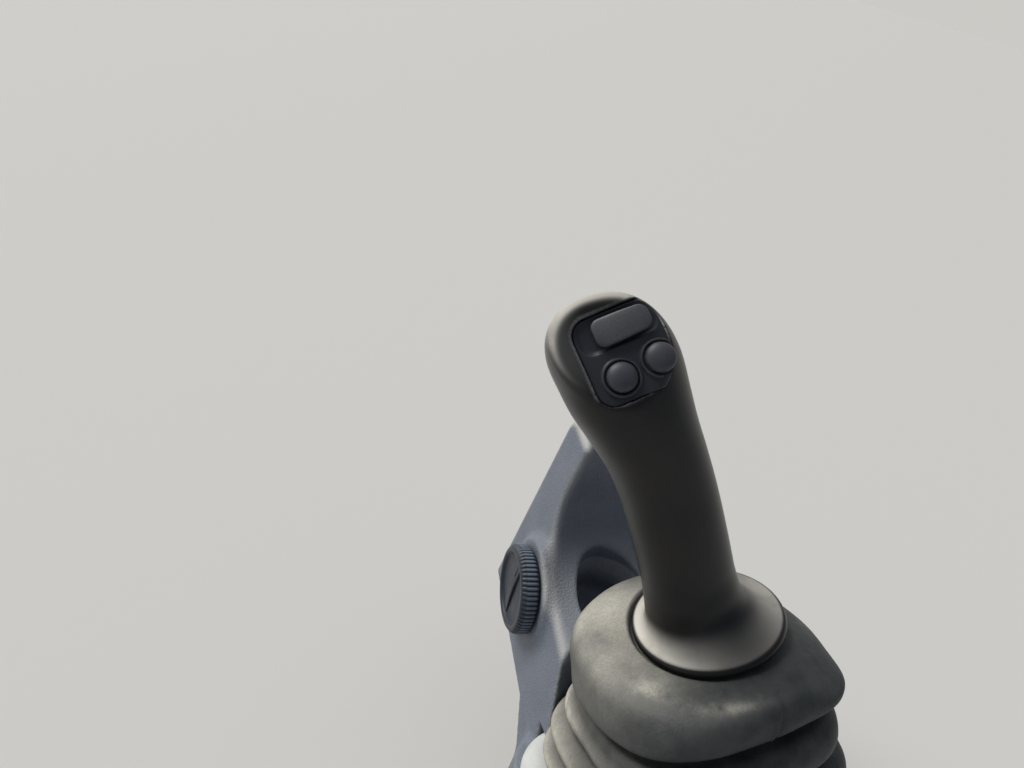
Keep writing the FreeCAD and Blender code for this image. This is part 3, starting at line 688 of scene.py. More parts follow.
def uneven(angle, height):
    """How far the rubber stands out or in at this place, in millimetres."""
    wave = 0.50 * np.sin(2 * angle + 0.09 * height) + 0.40 * np.sin(3 * angle - 0.13 * height + 1.0)
    wave += 0.22 * np.sin(7 * angle + 0.21 * height + 2.0) + 0.12 * np.sin(13 * angle - 0.3 * height)
    cap = ramp(height, 74, 79)
    wave += CORNER_PULL * hump(angle, CORNER_ANGLE, 0.30) * cap * ramp(-height, -97, -84)
    crease = hump(angle, CREASE_ANGLE, 0.022) - 0.7 * hump(angle, CREASE_ANGLE - 0.035, 0.022)
    return wave - 0.8 * crease * cap * ramp(-height, -104.5, -100)


def tucked(angle, height):
    """How far the lower rim of the cap is tucked in, in front, in millimetres."""
    return TUCK * hump(angle, TUCK_ANGLE, 0.72) * ramp(height, 54, 72) * ramp(-height, -92, -83)


def boot_rows(low, high, spacing=0.9):
    """Heights along the profile, spaced by its own length."""
    t = np.linspace(0, len(BOOT_TABLE) - 1, 1200)
    table = [(i, h, half) for i, (h, half) in enumerate(BOOT_TABLE)]
    heights, halves = curve(t, table, 1), curve(t, table, 2)
    run = np.concatenate([[0], np.cumsum(np.hypot(np.diff(heights), np.diff(halves)))])
    even = np.linspace(0, run[-1], int(run[-1] / spacing))
    heights, halves = np.interp(even, run, heights), np.interp(even, run, halves)
    kept = (heights >= low) & (heights <= high)
    return heights[kept], halves[kept]


def under_flange(points):
    """Points of the room's frame, pressed down to stay below the flange of the grip."""
    q = seen_from(points, grip)
    beyond = np.maximum(np.hypot(q[:, 0], q[:, 1]) - FLANGE_ROOM, 0)
    q[:, 2] = soft_min(q[:, 2], -DISC_THICK - 0.6 + 2.6 * beyond, 1.6)
    return placed(q, grip)


def boot_ring(height, half):
    """The directions round one ring of the bellows, and its points in the room's frame."""
    share = (height - BOOT_FOOT) / (BOOT_TOP - BOOT_FOOT)
    angle, radius = square_ring(half, 0.62 + 0.38 * max(share, 0) ** 2.6, AROUND)
    fade = min((height - BOOT_FOOT) / 8, (BOOT_TOP - height) / 8, 1)
    radius = radius + uneven(angle, height) * max(fade, 0) - tucked(angle, height)
    push = PUSH * ramp(height, 66, 79) * ramp(-height, -105, -99)
    lift = LIFT * ramp(height, 82, 97) * hump(angle, PUSH_ANGLE, 0.85)
    ring = np.stack([radius * np.cos(angle) + push * math.cos(PUSH_ANGLE),
                     radius * np.sin(angle) + push * math.sin(PUSH_ANGLE), lift], 1)
    return angle, under_flange(placed(ring, stick @ ring_matrix(height)))


# %% [markdown]
# The rings become a mesh, and four marks are stored on it: where each point was made, how deep it lies
# in a groove, for painted shade, how much painted sunlight it gets, and how much it is scuffed.

# %% Make the two halves of the bellows
SCUFFS = (
    # direction in degrees, width in radians, height, depth
    (-112, 0.28, 99.5, 2.0),
    (-154, 0.24, 101.0, 2.4),
    (-128, 0.30, 59.0, 3.0),
    (150, 0.50, 60.0, 4.0),
)


def mark_rubber(obj, points, around, tall):
    """Stores the marks of the rubber. Each vertex lies at a direction around and a height tall."""
    place = obj.data.attributes.new("rest_place", "FLOAT_VECTOR", "POINT")
    place.data.foreach_set("vector", (points / 1000).ravel())
    away = np.abs(tall[:, None] - np.array(FOLD_LIPS)).min(1)
    # The groove mark makes the grooves darker in the rubber's material: painted shade.
    mark(obj, "groove", np.where(tall > FOLD_LIPS[-1], 0, np.clip((away - 2.5) / 6.5, 0, 1)))
    # Painted sunlight: more dust film on the cap's shoulder and on the inboard side, where the daylight
    # falls.
    shoulder = np.where(tall > FOLD_LIPS[-1] - 6, 0.35 + 0.65 * ramp(tall, 89, 98), 1)
    mark(obj, "painted_sunlight", shoulder * (0.5 + 0.5 * np.cos(around - PAINTED_SUN_ANGLE)) ** 5)
    scuffed = sum(hump(around, math.radians(at), wide) * np.exp(-((tall - level) / deep) ** 2)
                  for at, wide, level, deep in SCUFFS)
    mark(obj, "scuffed", scuffed)


def boot_half(name, low, high):
    """One half of the boot as an open skin, thickened inwards."""
    heights, halves = boot_rows(low, high)
    rings = [boot_ring(height, half) for height, half in zip(heights, halves)]
    points = np.concatenate([ring for _, ring in rings])
    faces = []
    for row in range(len(rings) - 1):
        for i in range(AROUND):
            j = (i + 1) % AROUND
            faces.append((row * AROUND + i, row * AROUND + j, (row + 1) * AROUND + j, (row + 1) * AROUND + i))
    obj = new_object(name, points, faces)
    mark_rubber(obj, points, np.concatenate([angle for angle, _ in rings]), np.repeat(heights, AROUND))
    wall = obj.modifiers.new("wall", "SOLIDIFY")
    wall.thickness = BOOT_WALL / 1000
    wall.offset = -1
    return obj


def applied(obj):
    """The object with its modifiers worked into the mesh."""
    depsgraph = bpy.context.evaluated_depsgraph_get()
    mesh = bpy.data.meshes.new_from_object(obj.evaluated_get(depsgraph), preserve_all_data_layers=True,
                                           depsgraph=depsgraph)
    obj.modifiers.clear()
    obj.data = mesh
    return obj


boot_low = applied(boot_half("boot_lower_folds", BOOT_FOOT, SPLIT_HEIGHT + 0.4))
boot_high = applied(boot_half("boot_upper_folds", SPLIT_HEIGHT - 0.4, BOOT_TOP))
print("boot of", len(boot_low.data.polygons) + len(boot_high.data.polygons), "faces")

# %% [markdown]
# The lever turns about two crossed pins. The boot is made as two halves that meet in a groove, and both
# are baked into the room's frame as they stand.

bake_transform(boot_low)
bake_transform(boot_high)
for half in (boot_low, boot_high):
    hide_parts("boot")
    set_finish(half, "boot_rubber")

# %% [markdown]
# ## The console
#
# The console is one shell: a pedestal under the boot and a shield in front that carries the dial. A
# bowl is scooped out of it for the knuckles, a pocket lies in the bowl's floor, and the panel swells
# softly round the dial. All of it is distances again, joined with fillets, and the inside is the same
# formula, 3 mm deeper.

# %% Formula of the console
SHELL_WALL = 3.0
SHELL_BOTTOM = 84.0
CHIN_RISE = 20.0
CHIN_REACH = 26.0
COLLAR_HALF = 72.0
COLLAR_CORNER = 32.0
COLLAR_HEIGHT = 13.0
DECK_DROP = 8.0
BOOT_ROOM = 66.5
SHIELD_FRONT = 200.0
SHIELD_TOP = 256.0
SHIELD_OUTBOARD = 68.0
PANEL_PLACE = Vector((-30.0, 130.0, 165.0))
PANEL_TURN = math.radians(12)
PANEL_OUT = Vector((-math.cos(PANEL_TURN), math.sin(PANEL_TURN), 0.13)).normalized()
SHIELD_BEHIND = 40.0
SHIELD_ROUND = 12.0
SWELL_RADIUS = 33.0
SWELL_HEIGHT = 3.0
SWELL_DEPTH = 12.0
BOWL_MIDDLE = (15.0, 62.0)
BOWL_RADIUS = 104.0
BOWL_FLOOR = 170.0
BOWL_ROUND = 50.0
POCKET = [(-16, 98), (44, 98), (42, 128), (26, 148), (6, 150), (-10, 132)]
POCKET_FILLET = 12.0
POCKET_FLOOR = 134.0
OPENING_HALF = 50.0
OPENING_CORNER = 20.0
BUSH_RADIUS = 5.0
BUSH_DEPTH = 9.0

dial_joint = next(joint for joint in frame["joints"] if joint["name"] == "dial_turn")
dial_spot = Vector([v * 1000 for v in dial_joint["pos_m"]])
dial_out = Vector((-math.cos(PANEL_TURN), math.sin(PANEL_TURN), 0))
dial = Matrix.Translation(dial_spot) @ dial_out.to_track_quat("Z", "Y").to_matrix().to_4x4()


def convex(x, y, corners, fillet):
    """Distance from a convex outline whose corners are rounded."""
    out = None
    for (ax, ay), (bx, by) in zip(corners, corners[1:] + corners[:1]):
        length = math.hypot(bx - ax, by - ay)
        side = ((by - ay) * (x - ax) - (bx - ax) * (y - ay)) / length
        out = side if out is None else soft_max(out, side, fillet)
    return out


def panel_distance(p):
    """How far a point lies inboard of the console's panel."""
    return (p - np.array(PANEL_PLACE)) @ np.array(PANEL_OUT)


def front_distance(p):
    """Distance from the shield's front and top, which meet in a round."""
    return round_max(p[:, 1] - SHIELD_FRONT, p[:, 2] - SHIELD_TOP, SHIELD_ROUND)


def bowl_distance(p):
    """Distance from the bowl for the knuckles, a drum with a very round floor."""
    reach = np.hypot(p[:, 0] - BOWL_MIDDLE[0], p[:, 1] - BOWL_MIDDLE[1])
    return round_max(reach - BOWL_RADIUS, BOWL_FLOOR - p[:, 2], BOWL_ROUND)


def boot_room(s):
    """Room for the collar and, above it, for the boot, widening upwards."""
    x, y, z = s.T
    high = COLLAR_HEIGHT - DECK_DROP + 0.3
    low_room = rounded_square(x, y, COLLAR_HALF + 0.3, COLLAR_HALF + 0.3, COLLAR_CORNER + 0.3)
    low_room = soft_max(low_room, np.maximum(z - high, -DECK_DROP - z), 0.8)
    half = BOOT_ROOM + 0.07 * np.maximum(z - high, 0)
    return np.minimum(low_room, np.maximum(rounded_square(x, y, half, half, half - 24), high - 1 - z))


def console_outside(p, bottom=True):
    """Distance from the console's outside. Without its bottom it runs on downwards."""
    x, y, z = p.T
    s = seen_from(p, stick)
    pedestal = rounded_square(x, y, COLLAR_HALF, COLLAR_HALF, COLLAR_CORNER)
    pedestal = soft_max(pedestal, s[:, 2] + DECK_DROP, 2.0)
    shield = round_max(front_distance(p), panel_distance(p), 6.0)
    shield = round_max(shield, np.maximum(x - SHIELD_OUTBOARD, SHIELD_BEHIND - y), 5.0)
    d = seen_from(p, dial)
    swell = np.maximum(d[:, 2] - SWELL_HEIGHT, -SWELL_DEPTH - d[:, 2])
    swell = round_max(np.hypot(d[:, 0], d[:, 1]) - SWELL_RADIUS, swell, 2.0)
    shield = soft_min(shield, swell, 9.0)
    shield = soft_max(shield, -bowl_distance(p), 8.0)
    pit = soft_max(convex(x, y, POCKET, POCKET_FILLET), POCKET_FLOOR - z, 8.0)
    shield = soft_max(shield, -pit, 2.2)
    shield = soft_max(shield, -boot_room(s), 2.0)
    if bottom:
        low = SHELL_BOTTOM + CHIN_RISE * np.clip((y - COLLAR_HALF) / CHIN_REACH, 0, 1)
        shield = soft_max(shield, (low - z) * 0.8, 2.0)
        pedestal = soft_max(pedestal, SHELL_BOTTOM - z, 2.0)
    return soft_min(shield, pedestal, 6.0)


def console_field(p):
    """Distance from the shell: the outside less the inside, the boot's opening and the dial's hole."""
    s = seen_from(p, stick)
    hollow = console_outside(p, bottom=False) + SHELL_WALL
    shell = soft_max(console_outside(p), -hollow, 1.2)
    opening = rounded_square(s[:, 0], s[:, 1], OPENING_HALF, OPENING_HALF, OPENING_CORNER)
    shell = soft_max(shell, -soft_max(opening, np.abs(s[:, 2]) - 30, 1.0), 1.0)
    d = seen_from(p, dial)
    bush_hole = np.maximum(np.hypot(d[:, 0], d[:, 1]) - BUSH_RADIUS, np.abs(d[:, 2]) - BUSH_DEPTH)
    return soft_max(shell, -bush_hole, 0.6)


# %% Make the console
console = skin("console_shell", console_field, (-78, -76, 80), (76, 204, 260), 1.7, Matrix.Identity(4))
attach(console, "root")
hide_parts("pod_shell")
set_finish(console, "grey_moulding")

# %% [markdown]
# The console is marked too. Its edges where the panel turns to the front and into the bowl are pale,
# partly rubbed and partly a painted highlight. The bowl's floor gets dust and painted light, and the upper
# part of the pocket's walls a painted light.

# %% Mark the worn and dusty places of the console
spots = places(console)
x, y, z = spots.T
panel = panel_distance(spots)
bowl = bowl_distance(spots)
# Pale edges: partly wear, partly a painted highlight along the lit ridge and the panel's upper edge.
edge = np.minimum(panel, front_distance(spots))
ridge = np.minimum(panel, -bowl)
low = ramp(-z, -205, -168)
mark(console, "worn", 0.75 * ramp(edge, -6, -1.6) + (0.30 + 0.30 * low) * ramp(ridge, -8, -1))

# Painted light on the pocket's upper walls, and dust with painted light on the bowl's floor.
pocket_walls = ramp(-convex(x, y, POCKET, POCKET_FILLET), -1.5, 0)
painted_pocket_light = pocket_walls * ramp(-z, -169.5, -168) * ramp(z, 144, 160)
bowl_floor_dust_and_light = ramp(-z, -194, -172) * ramp(y, 74, 84) * ramp(-panel, 2, 8) * ramp(-np.abs(bowl), -3, -1)
mark(console, "dusty", np.maximum(0.95 * painted_pocket_light, 0.6 * bowl_floor_dust_and_light))
print("pocket dust on", int((painted_pocket_light > 0.5).sum()), "vertices")

# %% [markdown]
# ## The collar
#
# A pale ring clips the foot of the boot to the console's deck. Its shoulder is a large round.

# %% Make the collar
COLLAR_OPENING = 54.0
COLLAR_INNER_CORNER = 24.0
COLLAR_ROUND = 11.0


def collar_field(p):
    """Distance from the collar, in the lever's frame."""
    x, y, z = p.T
    outline = rounded_square(x, y, COLLAR_HALF, COLLAR_HALF, COLLAR_CORNER)
    ring = round_max(outline, z - COLLAR_HEIGHT + DECK_DROP, COLLAR_ROUND)
    ring = soft_max(ring, -DECK_DROP - z, 0.8)
    opening = rounded_square(x, y, COLLAR_OPENING, COLLAR_OPENING, COLLAR_INNER_CORNER)
    return soft_max(ring, -opening, 2.0)


collar = skin("boot_collar_moulding", collar_field, (-75, -75, -10), (75, 75, 8), 1.4, stick)
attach(collar, "root")
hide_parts("boot_collar")
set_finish(collar, "pale_moulding")

# %% [markdown]
# ## The dial
#
# The hand dial is a lathe part whose rim is knurled: the radius swings in and out with the angle.

# %% Make the dial
DIAL_RADIUS = 29.0
DIAL_BASE = 4.0
DIAL_FACE = 16.0
RIBS = 60
RIB_DEPTH = 0.9
STEPS_PER_RIB = 10


def knurl(radius, height, angle):
    """Ribs on the outer rim only."""
    if radius < DIAL_RADIUS - 1.6:
        return np.full(len(angle), radius)
    tooth = np.abs(np.sin(angle * RIBS / 2)) ** 0.8
    return radius - RIB_DEPTH * (1 - tooth)


dial_profile = [
    (3.0, -10.5), (3.0, DIAL_BASE), (24.0, DIAL_BASE), (27.0, DIAL_BASE + 0.1), (28.0, DIAL_BASE + 0.8),
    (DIAL_RADIUS - 0.2, DIAL_BASE + 1.8), (DIAL_RADIUS, DIAL_BASE + 3.0), (DIAL_RADIUS, DIAL_FACE - 4.2),
    (DIAL_RADIUS - 0.3, DIAL_FACE - 2.8), (27.6, DIAL_FACE - 1.2), (26.6, DIAL_FACE - 0.4),
    (25.4, DIAL_FACE), (24.0, DIAL_FACE - 0.1), (23.2, DIAL_FACE - 0.9), (22.6, DIAL_FACE - 1.9),
    (21.8, DIAL_FACE - 2.3), (14.0, DIAL_FACE - 2.1), (4.0, DIAL_FACE - 1.9),
]
knob = lathe("dial_grip", dial_profile, dial, turns=RIBS * STEPS_PER_RIB, radius_at=knurl)
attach(knob, "dial")
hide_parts("dial_knob")
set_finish(knob, "dial_plastic")
side, ahead, height = seen_from(places(knob), dial).T
tips = ramp(np.hypot(side, ahead), DIAL_RADIUS - 0.6, DIAL_RADIUS - 0.05) * ramp(-height, -15, -12)
mark(knob, "worn", 0.8 * tips)

# %% [markdown]
# A raised bar across the dial's face shows which way it points, and a notch near one end of the bar
# tells that end from the other.

# %% Make the pointer bar
BAR_HALF = (22.4, 3.4)
BAR_FOOT = 3.4
NOTCH_PLACE = 15.5
NOTCH_HALF = (4.2, 0.55)
NOTCH_FOOT = 1.4


def bar_field(p):
    """Distance from the bar, which lies along the local X axis."""
    x, y, z = p.T
    crown = DIAL_FACE - 0.2 - 0.003 * x ** 2
    between_levels = np.maximum(z - crown, DIAL_FACE - BAR_FOOT - z)
    bar = round_max(rounded_square(x, y, *BAR_HALF, 3.2), between_levels, 0.8)
    notch = rounded_square(x - NOTCH_PLACE, y, *NOTCH_HALF, 0.5)
    return soft_max(bar, -np.maximum(notch, DIAL_FACE - NOTCH_FOOT - z), 0.3)


bar_turn = dial @ Matrix.Rotation(math.radians(90), 4, "Z")
bar = skin("dial_bar", bar_field, (-24, -5, 11), (24, 5, 17.5), 0.45, bar_turn)
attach(bar, "dial")
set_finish(bar, "dial_plastic")

# %% [markdown]
# ## Finishes
#
# A finish is a Principled shader with a few shared effects in front of it. Each effect is a node
# group, built once: a moulded grain, a film of dust that lies on what faces up, and bright wear on
# edges that stick out. Every material places them with its own values.

# %% Helpers for node groups and materials
def wire(tree, start, end):
    tree.links.new(start, end)


def new_group(name, inputs, outputs):
    """An empty shader node group with named number inputs and its outputs."""
    group = bpy.data.node_groups.new(name, "ShaderNodeTree")
    for label, value in inputs.items():
        socket = group.interface.new_socket(name=label, in_out="INPUT", socket_type="NodeSocketFloat")
        socket.default_value = value
    for label in outputs:
        group.interface.new_socket(name=label, in_out="OUTPUT", socket_type="NodeSocketFloat")
    return group, group.nodes.new("NodeGroupInput"), group.nodes.new("NodeGroupOutput")


def node(tree, kind, settings=None, values=None):
    """A node with its settings and the values of its unlinked inputs."""
    made = tree.nodes.new("ShaderNode" + kind)
    for key, value in (settings or {}).items():
        setattr(made, key, value)
    for key, value in (values or {}).items():
        made.inputs[key].default_value = value
    return made


def maths(tree, operation, *values, clamp=False):
    """A Math node on sockets or numbers."""
    made = node(tree, "Math", {"operation": operation, "use_clamp": clamp})
    for socket, value in zip(made.inputs, values):
        if isinstance(value, (int, float)):
            socket.default_value = value
        else:
            wire(tree, value, socket)
    return made.outputs[0]


def between(tree, value, low, high):
    """value as a share of the way from low to high, held to 0 and 1."""
    made = node(tree, "MapRange", {"clamp": True}, {"From Min": low, "From Max": high})
    wire(tree, value, made.inputs["Value"])
    return made.outputs["Result"]


def noise(tree, place, scale, detail=3.0, rough=0.55):
    """A noise of that scale, in waves for each metre. The scale may be a socket too."""
    made = node(tree, "TexNoise", None, {"Detail": detail, "Roughness": rough})
    wire(tree, place, made.inputs["Vector"])
    if isinstance(scale, float):
        made.inputs["Scale"].default_value = scale
    else:
        wire(tree, scale, made.inputs["Scale"])
    return made.outputs["Fac"]


def stored(tree, name, output="Fac"):
    """What the piece stores for each vertex under that name."""
    return node(tree, "Attribute", {"attribute_name": name}).outputs[output]


def use(tree, group, values=None):
    """The outputs of a node group that is placed with these input values."""
    made = tree.nodes.new("ShaderNodeGroup")
    made.node_tree = group
    for key, value in (values or {}).items():
        made.inputs[key].default_value = value
    return made.outputs


# %% [markdown]
# The grain of a moulding is a net of small rounded cells with a finer noise over it. With 1100 cells
# for each metre, a cell is about 0.9 mm across.

# %% Node group: moulded grain
def grain_group():
    group, start, end = new_group("moulded_grain", {"Cells": 1100.0, "Fine": 5200.0}, ["Height"])
    place = node(group, "TexCoord").outputs["Object"]
    cells = node(group, "TexVoronoi", {"feature": "SMOOTH_F1"}, {"Smoothness": 0.6})
    wire(group, place, cells.inputs["Vector"])
    wire(group, start.outputs["Cells"], cells.inputs["Scale"])
    fine = noise(group, place, start.outputs["Fine"], 2.0, 0.5)
    coarse = maths(group, "MULTIPLY", cells.outputs["Distance"], 0.7)
    wire(group, maths(group, "ADD", coarse, maths(group, "MULTIPLY", fine, 0.5)), end.inputs["Height"])
    return group


grain = grain_group()
print("group", grain.name)

# %% [markdown]
# Dust settles on what faces up, and a thinner film of it lies everywhere. The direction is taken in
# the piece's own frame, so that the dust stays where it is when the lever moves. Two noises break it
# up.

# %% Node group: dust
def dust_group():
    group, start, end = new_group(
        "settled_dust", {"Amount": 0.5, "Everywhere": 0.2, "Patch": 28.0, "Fine": 900.0}, ["Mask"])
    coords = node(group, "TexCoord")
    up = node(group, "SeparateXYZ")
    wire(group, coords.outputs["Normal"], up.inputs[0])
    facing = between(group, up.outputs["Z"], -0.2, 0.95)
    place = coords.outputs["Object"]
    broken = between(group, noise(group, place, start.outputs["Patch"], 4.0, 0.6), 0.30, 0.68)
    speckled = between(group, noise(group, place, start.outputs["Fine"], 3.0, 0.7), 0.25, 0.75)
    film = maths(group, "MULTIPLY_ADD", facing, start.outputs["Amount"], start.outputs["Everywhere"])
    film = maths(group, "MULTIPLY", film, maths(group, "MULTIPLY_ADD", broken, 0.7, 0.3))
    film = maths(group, "MULTIPLY", film, maths(group, "MULTIPLY_ADD", speckled, 0.5, 0.5))
    wire(group, maths(group, "MINIMUM", film, 1.0, clamp=True), end.inputs["Mask"])
    return group


dust = dust_group()

# %% [markdown]
# Hands and gloves rub what sticks out. Pointiness tells how far the surface bends outwards, and a
# noise breaks the worn line so that it looks used and not drawn.

# %% Node group: edge wear
def wear_group():
    group, start, end = new_group("edge_wear", {"From": 0.53, "To": 0.60, "Breakup": 240.0}, ["Mask"])
    bend = node(group, "NewGeometry").outputs["Pointiness"]
    spread = node(group, "MapRange", {"clamp": True})
    wire(group, bend, spread.inputs["Value"])
    wire(group, start.outputs["From"], spread.inputs["From Min"])
    wire(group, start.outputs["To"], spread.inputs["From Max"])
    place = node(group, "TexCoord").outputs["Object"]
    broken = between(group, noise(group, place, start.outputs["Breakup"], 4.0, 0.5), 0.35, 0.6)
    share = maths(group, "MULTIPLY_ADD", broken, 0.6, 0.4)
    wire(group, maths(group, "MULTIPLY", spread.outputs["Result"], share), end.inputs["Mask"])
    return group


wear = wear_group()
print("groups", dust.name, "and", wear.name)

# %% [markdown]
# One recipe serves all the mouldings. It mixes the plastic's own colour with the dust's and the worn
# edge's, which where a piece's marks say so also paint light and sheen, lowers or raises the roughness with
# them, and gives the grain to a Bump node.

# %% The recipe of a moulding
def shade(colour, factor):
    """The colour made darker or lighter by a factor."""
    return tuple(min(v * factor, 1) for v in colour)


def mixed(tree, share, first, second):
    """first where share is 0, second where it is 1. Both are colours or sockets."""
    made = node(tree, "Mix", {"data_type": "RGBA"})
    wire(tree, share, made.inputs["Factor"])
    for socket, value in ((made.inputs["A"], first), (made.inputs["B"], second)):
        if isinstance(value, tuple):
            socket.default_value = (*value, 1)
        else:
            wire(tree, value, socket)
    return made.outputs["Result"]


def new_material(name):
    """A material, its node tree and its Principled shader."""
    material = bpy.data.materials.new(name)
    material.use_nodes = True
    return material, material.node_tree, material.node_tree.nodes["Principled BSDF"]


def moulding(name, colour, dust_colour, wear_and_sheen_colour, rough=0.55, amount=0.5, everywhere=0.15, worn=0.4,
             cells=1100.0, relief=0.00006, mottle=0.12, specular=0.45, patina=None, speckle=0.12):
    """A grained plastic with dust and wear, also where the marks of the piece say so, which carry painted
    light and sheen too.
    """
    material, tree, shader = new_material(name)
    place = node(tree, "TexCoord").outputs["Object"]
    cloud = between(tree, noise(tree, place, 45.0), 0.3, 0.7)
    base = mixed(tree, cloud, shade(colour, 1 - mottle), patina or shade(colour, 1 + mottle))
    fleck = between(tree, noise(tree, place, 1100.0, 2.0, 0.7), 0.35, 0.65)
    base = mixed(tree, maths(tree, "MULTIPLY", fleck, speckle), base, shade(colour, 2.2))
    rubbed = maths(tree, "MULTIPLY", use(tree, wear)["Mask"], worn)
    # The stored worn mark also carries the painted sheen of the grip's crown and the painted highlight of the
    # console's edges.
    rubbed = maths(tree, "MAXIMUM", rubbed, stored(tree, "worn"))
    base = mixed(tree, rubbed, base, wear_and_sheen_colour)
    film = use(tree, dust, {"Amount": amount, "Everywhere": everywhere})["Mask"]
    patches = between(tree, noise(tree, place, 60.0, 5.0, 0.55), -0.35, 0.5)
    # The stored dusty mark also carries painted light: on the grip's crown and flange and on the console's
    # pocket walls and bowl.
    film = maths(tree, "ADD", film, maths(tree, "MULTIPLY", stored(tree, "dusty"), patches), clamp=True)
    wire(tree, mixed(tree, film, base, dust_colour), shader.inputs["Base Color"])
    dull = maths(tree, "MULTIPLY_ADD", film, 0.35, rough)
    dull = maths(tree, "SUBTRACT", dull, maths(tree, "MULTIPLY", rubbed, 0.15), clamp=True)
    wire(tree, dull, shader.inputs["Roughness"])
    shader.inputs["Specular IOR Level"].default_value = specular
    bump = node(tree, "Bump", None, {"Strength": 1.0, "Distance": relief})
    wire(tree, use(tree, grain, {"Cells": cells, "Fine": cells * 4.7})["Height"], bump.inputs["Height"])
    wire(tree, bump.outputs["Normal"], shader.inputs["Normal"])
    return material


# %% Materials of the mouldings
finish = {
    "grey_moulding": moulding(
        "grey_moulding", (0.104, 0.118, 0.152), (0.29, 0.30, 0.325), (0.52, 0.51, 0.48),
        rough=0.48, amount=0.20, everywhere=0.10, worn=0.55, cells=900.0, relief=0.00045, speckle=0.32),
    "pale_moulding": moulding(
        "pale_moulding", (0.47, 0.485, 0.48), (0.40, 0.395, 0.37), (0.60, 0.60, 0.585),
        rough=0.50, amount=0.20, everywhere=0.12, worn=0.2, relief=0.00010),
    # The grip's worn colour also paints the crown's sheen, and its dust colour the crown's painted highlight.
    "grip_plastic": moulding(
        "grip_plastic", (0.0025, 0.0035, 0.0060), (0.52, 0.495, 0.445), (0.125, 0.122, 0.122),
        rough=0.32, amount=0.004, everywhere=0.001, worn=0.20, cells=1500.0, relief=0.00003,
        mottle=0.25, specular=0.30, patina=(0.0075, 0.0060, 0.0055), speckle=0.0),
    "face_plastic": moulding(
        "face_plastic", (0.017, 0.019, 0.025), (0.16, 0.155, 0.15), (0.11, 0.108, 0.11),
        rough=0.40, amount=0.05, everywhere=0.02, worn=0.6, cells=1800.0, relief=0.00002,
        mottle=0.2, specular=0.30),
    "button_rubber": moulding(
        "button_rubber", (0.027, 0.029, 0.038), (0.16, 0.16, 0.17), (0.12, 0.12, 0.13),
        rough=0.46, amount=0.14, everywhere=0.05, worn=0.5, cells=2200.0, relief=0.00002,
        mottle=0.2, specular=0.40),
    "dial_plastic": moulding(
        "dial_plastic", (0.006, 0.010, 0.018), (0.20, 0.24, 0.31), (0.16, 0.19, 0.24),
        rough=0.42, amount=0.06, everywhere=0.05, worn=0.6, cells=1800.0, relief=0.00002,
        mottle=0.2, specular=0.35),
}
print("mouldings:", ", ".join(finish))

# %% [markdown]
# The boot's rubber is dark and very dusty. Its pattern is tied to where each point was when the boot
# was made, an attribute, so it doesn't swim when the boot bends. The dust film is thickest on what faces the
# daylight and on the inboard side, which paints the light falling there over the dust, and the grooves
# are painted darker as shade.

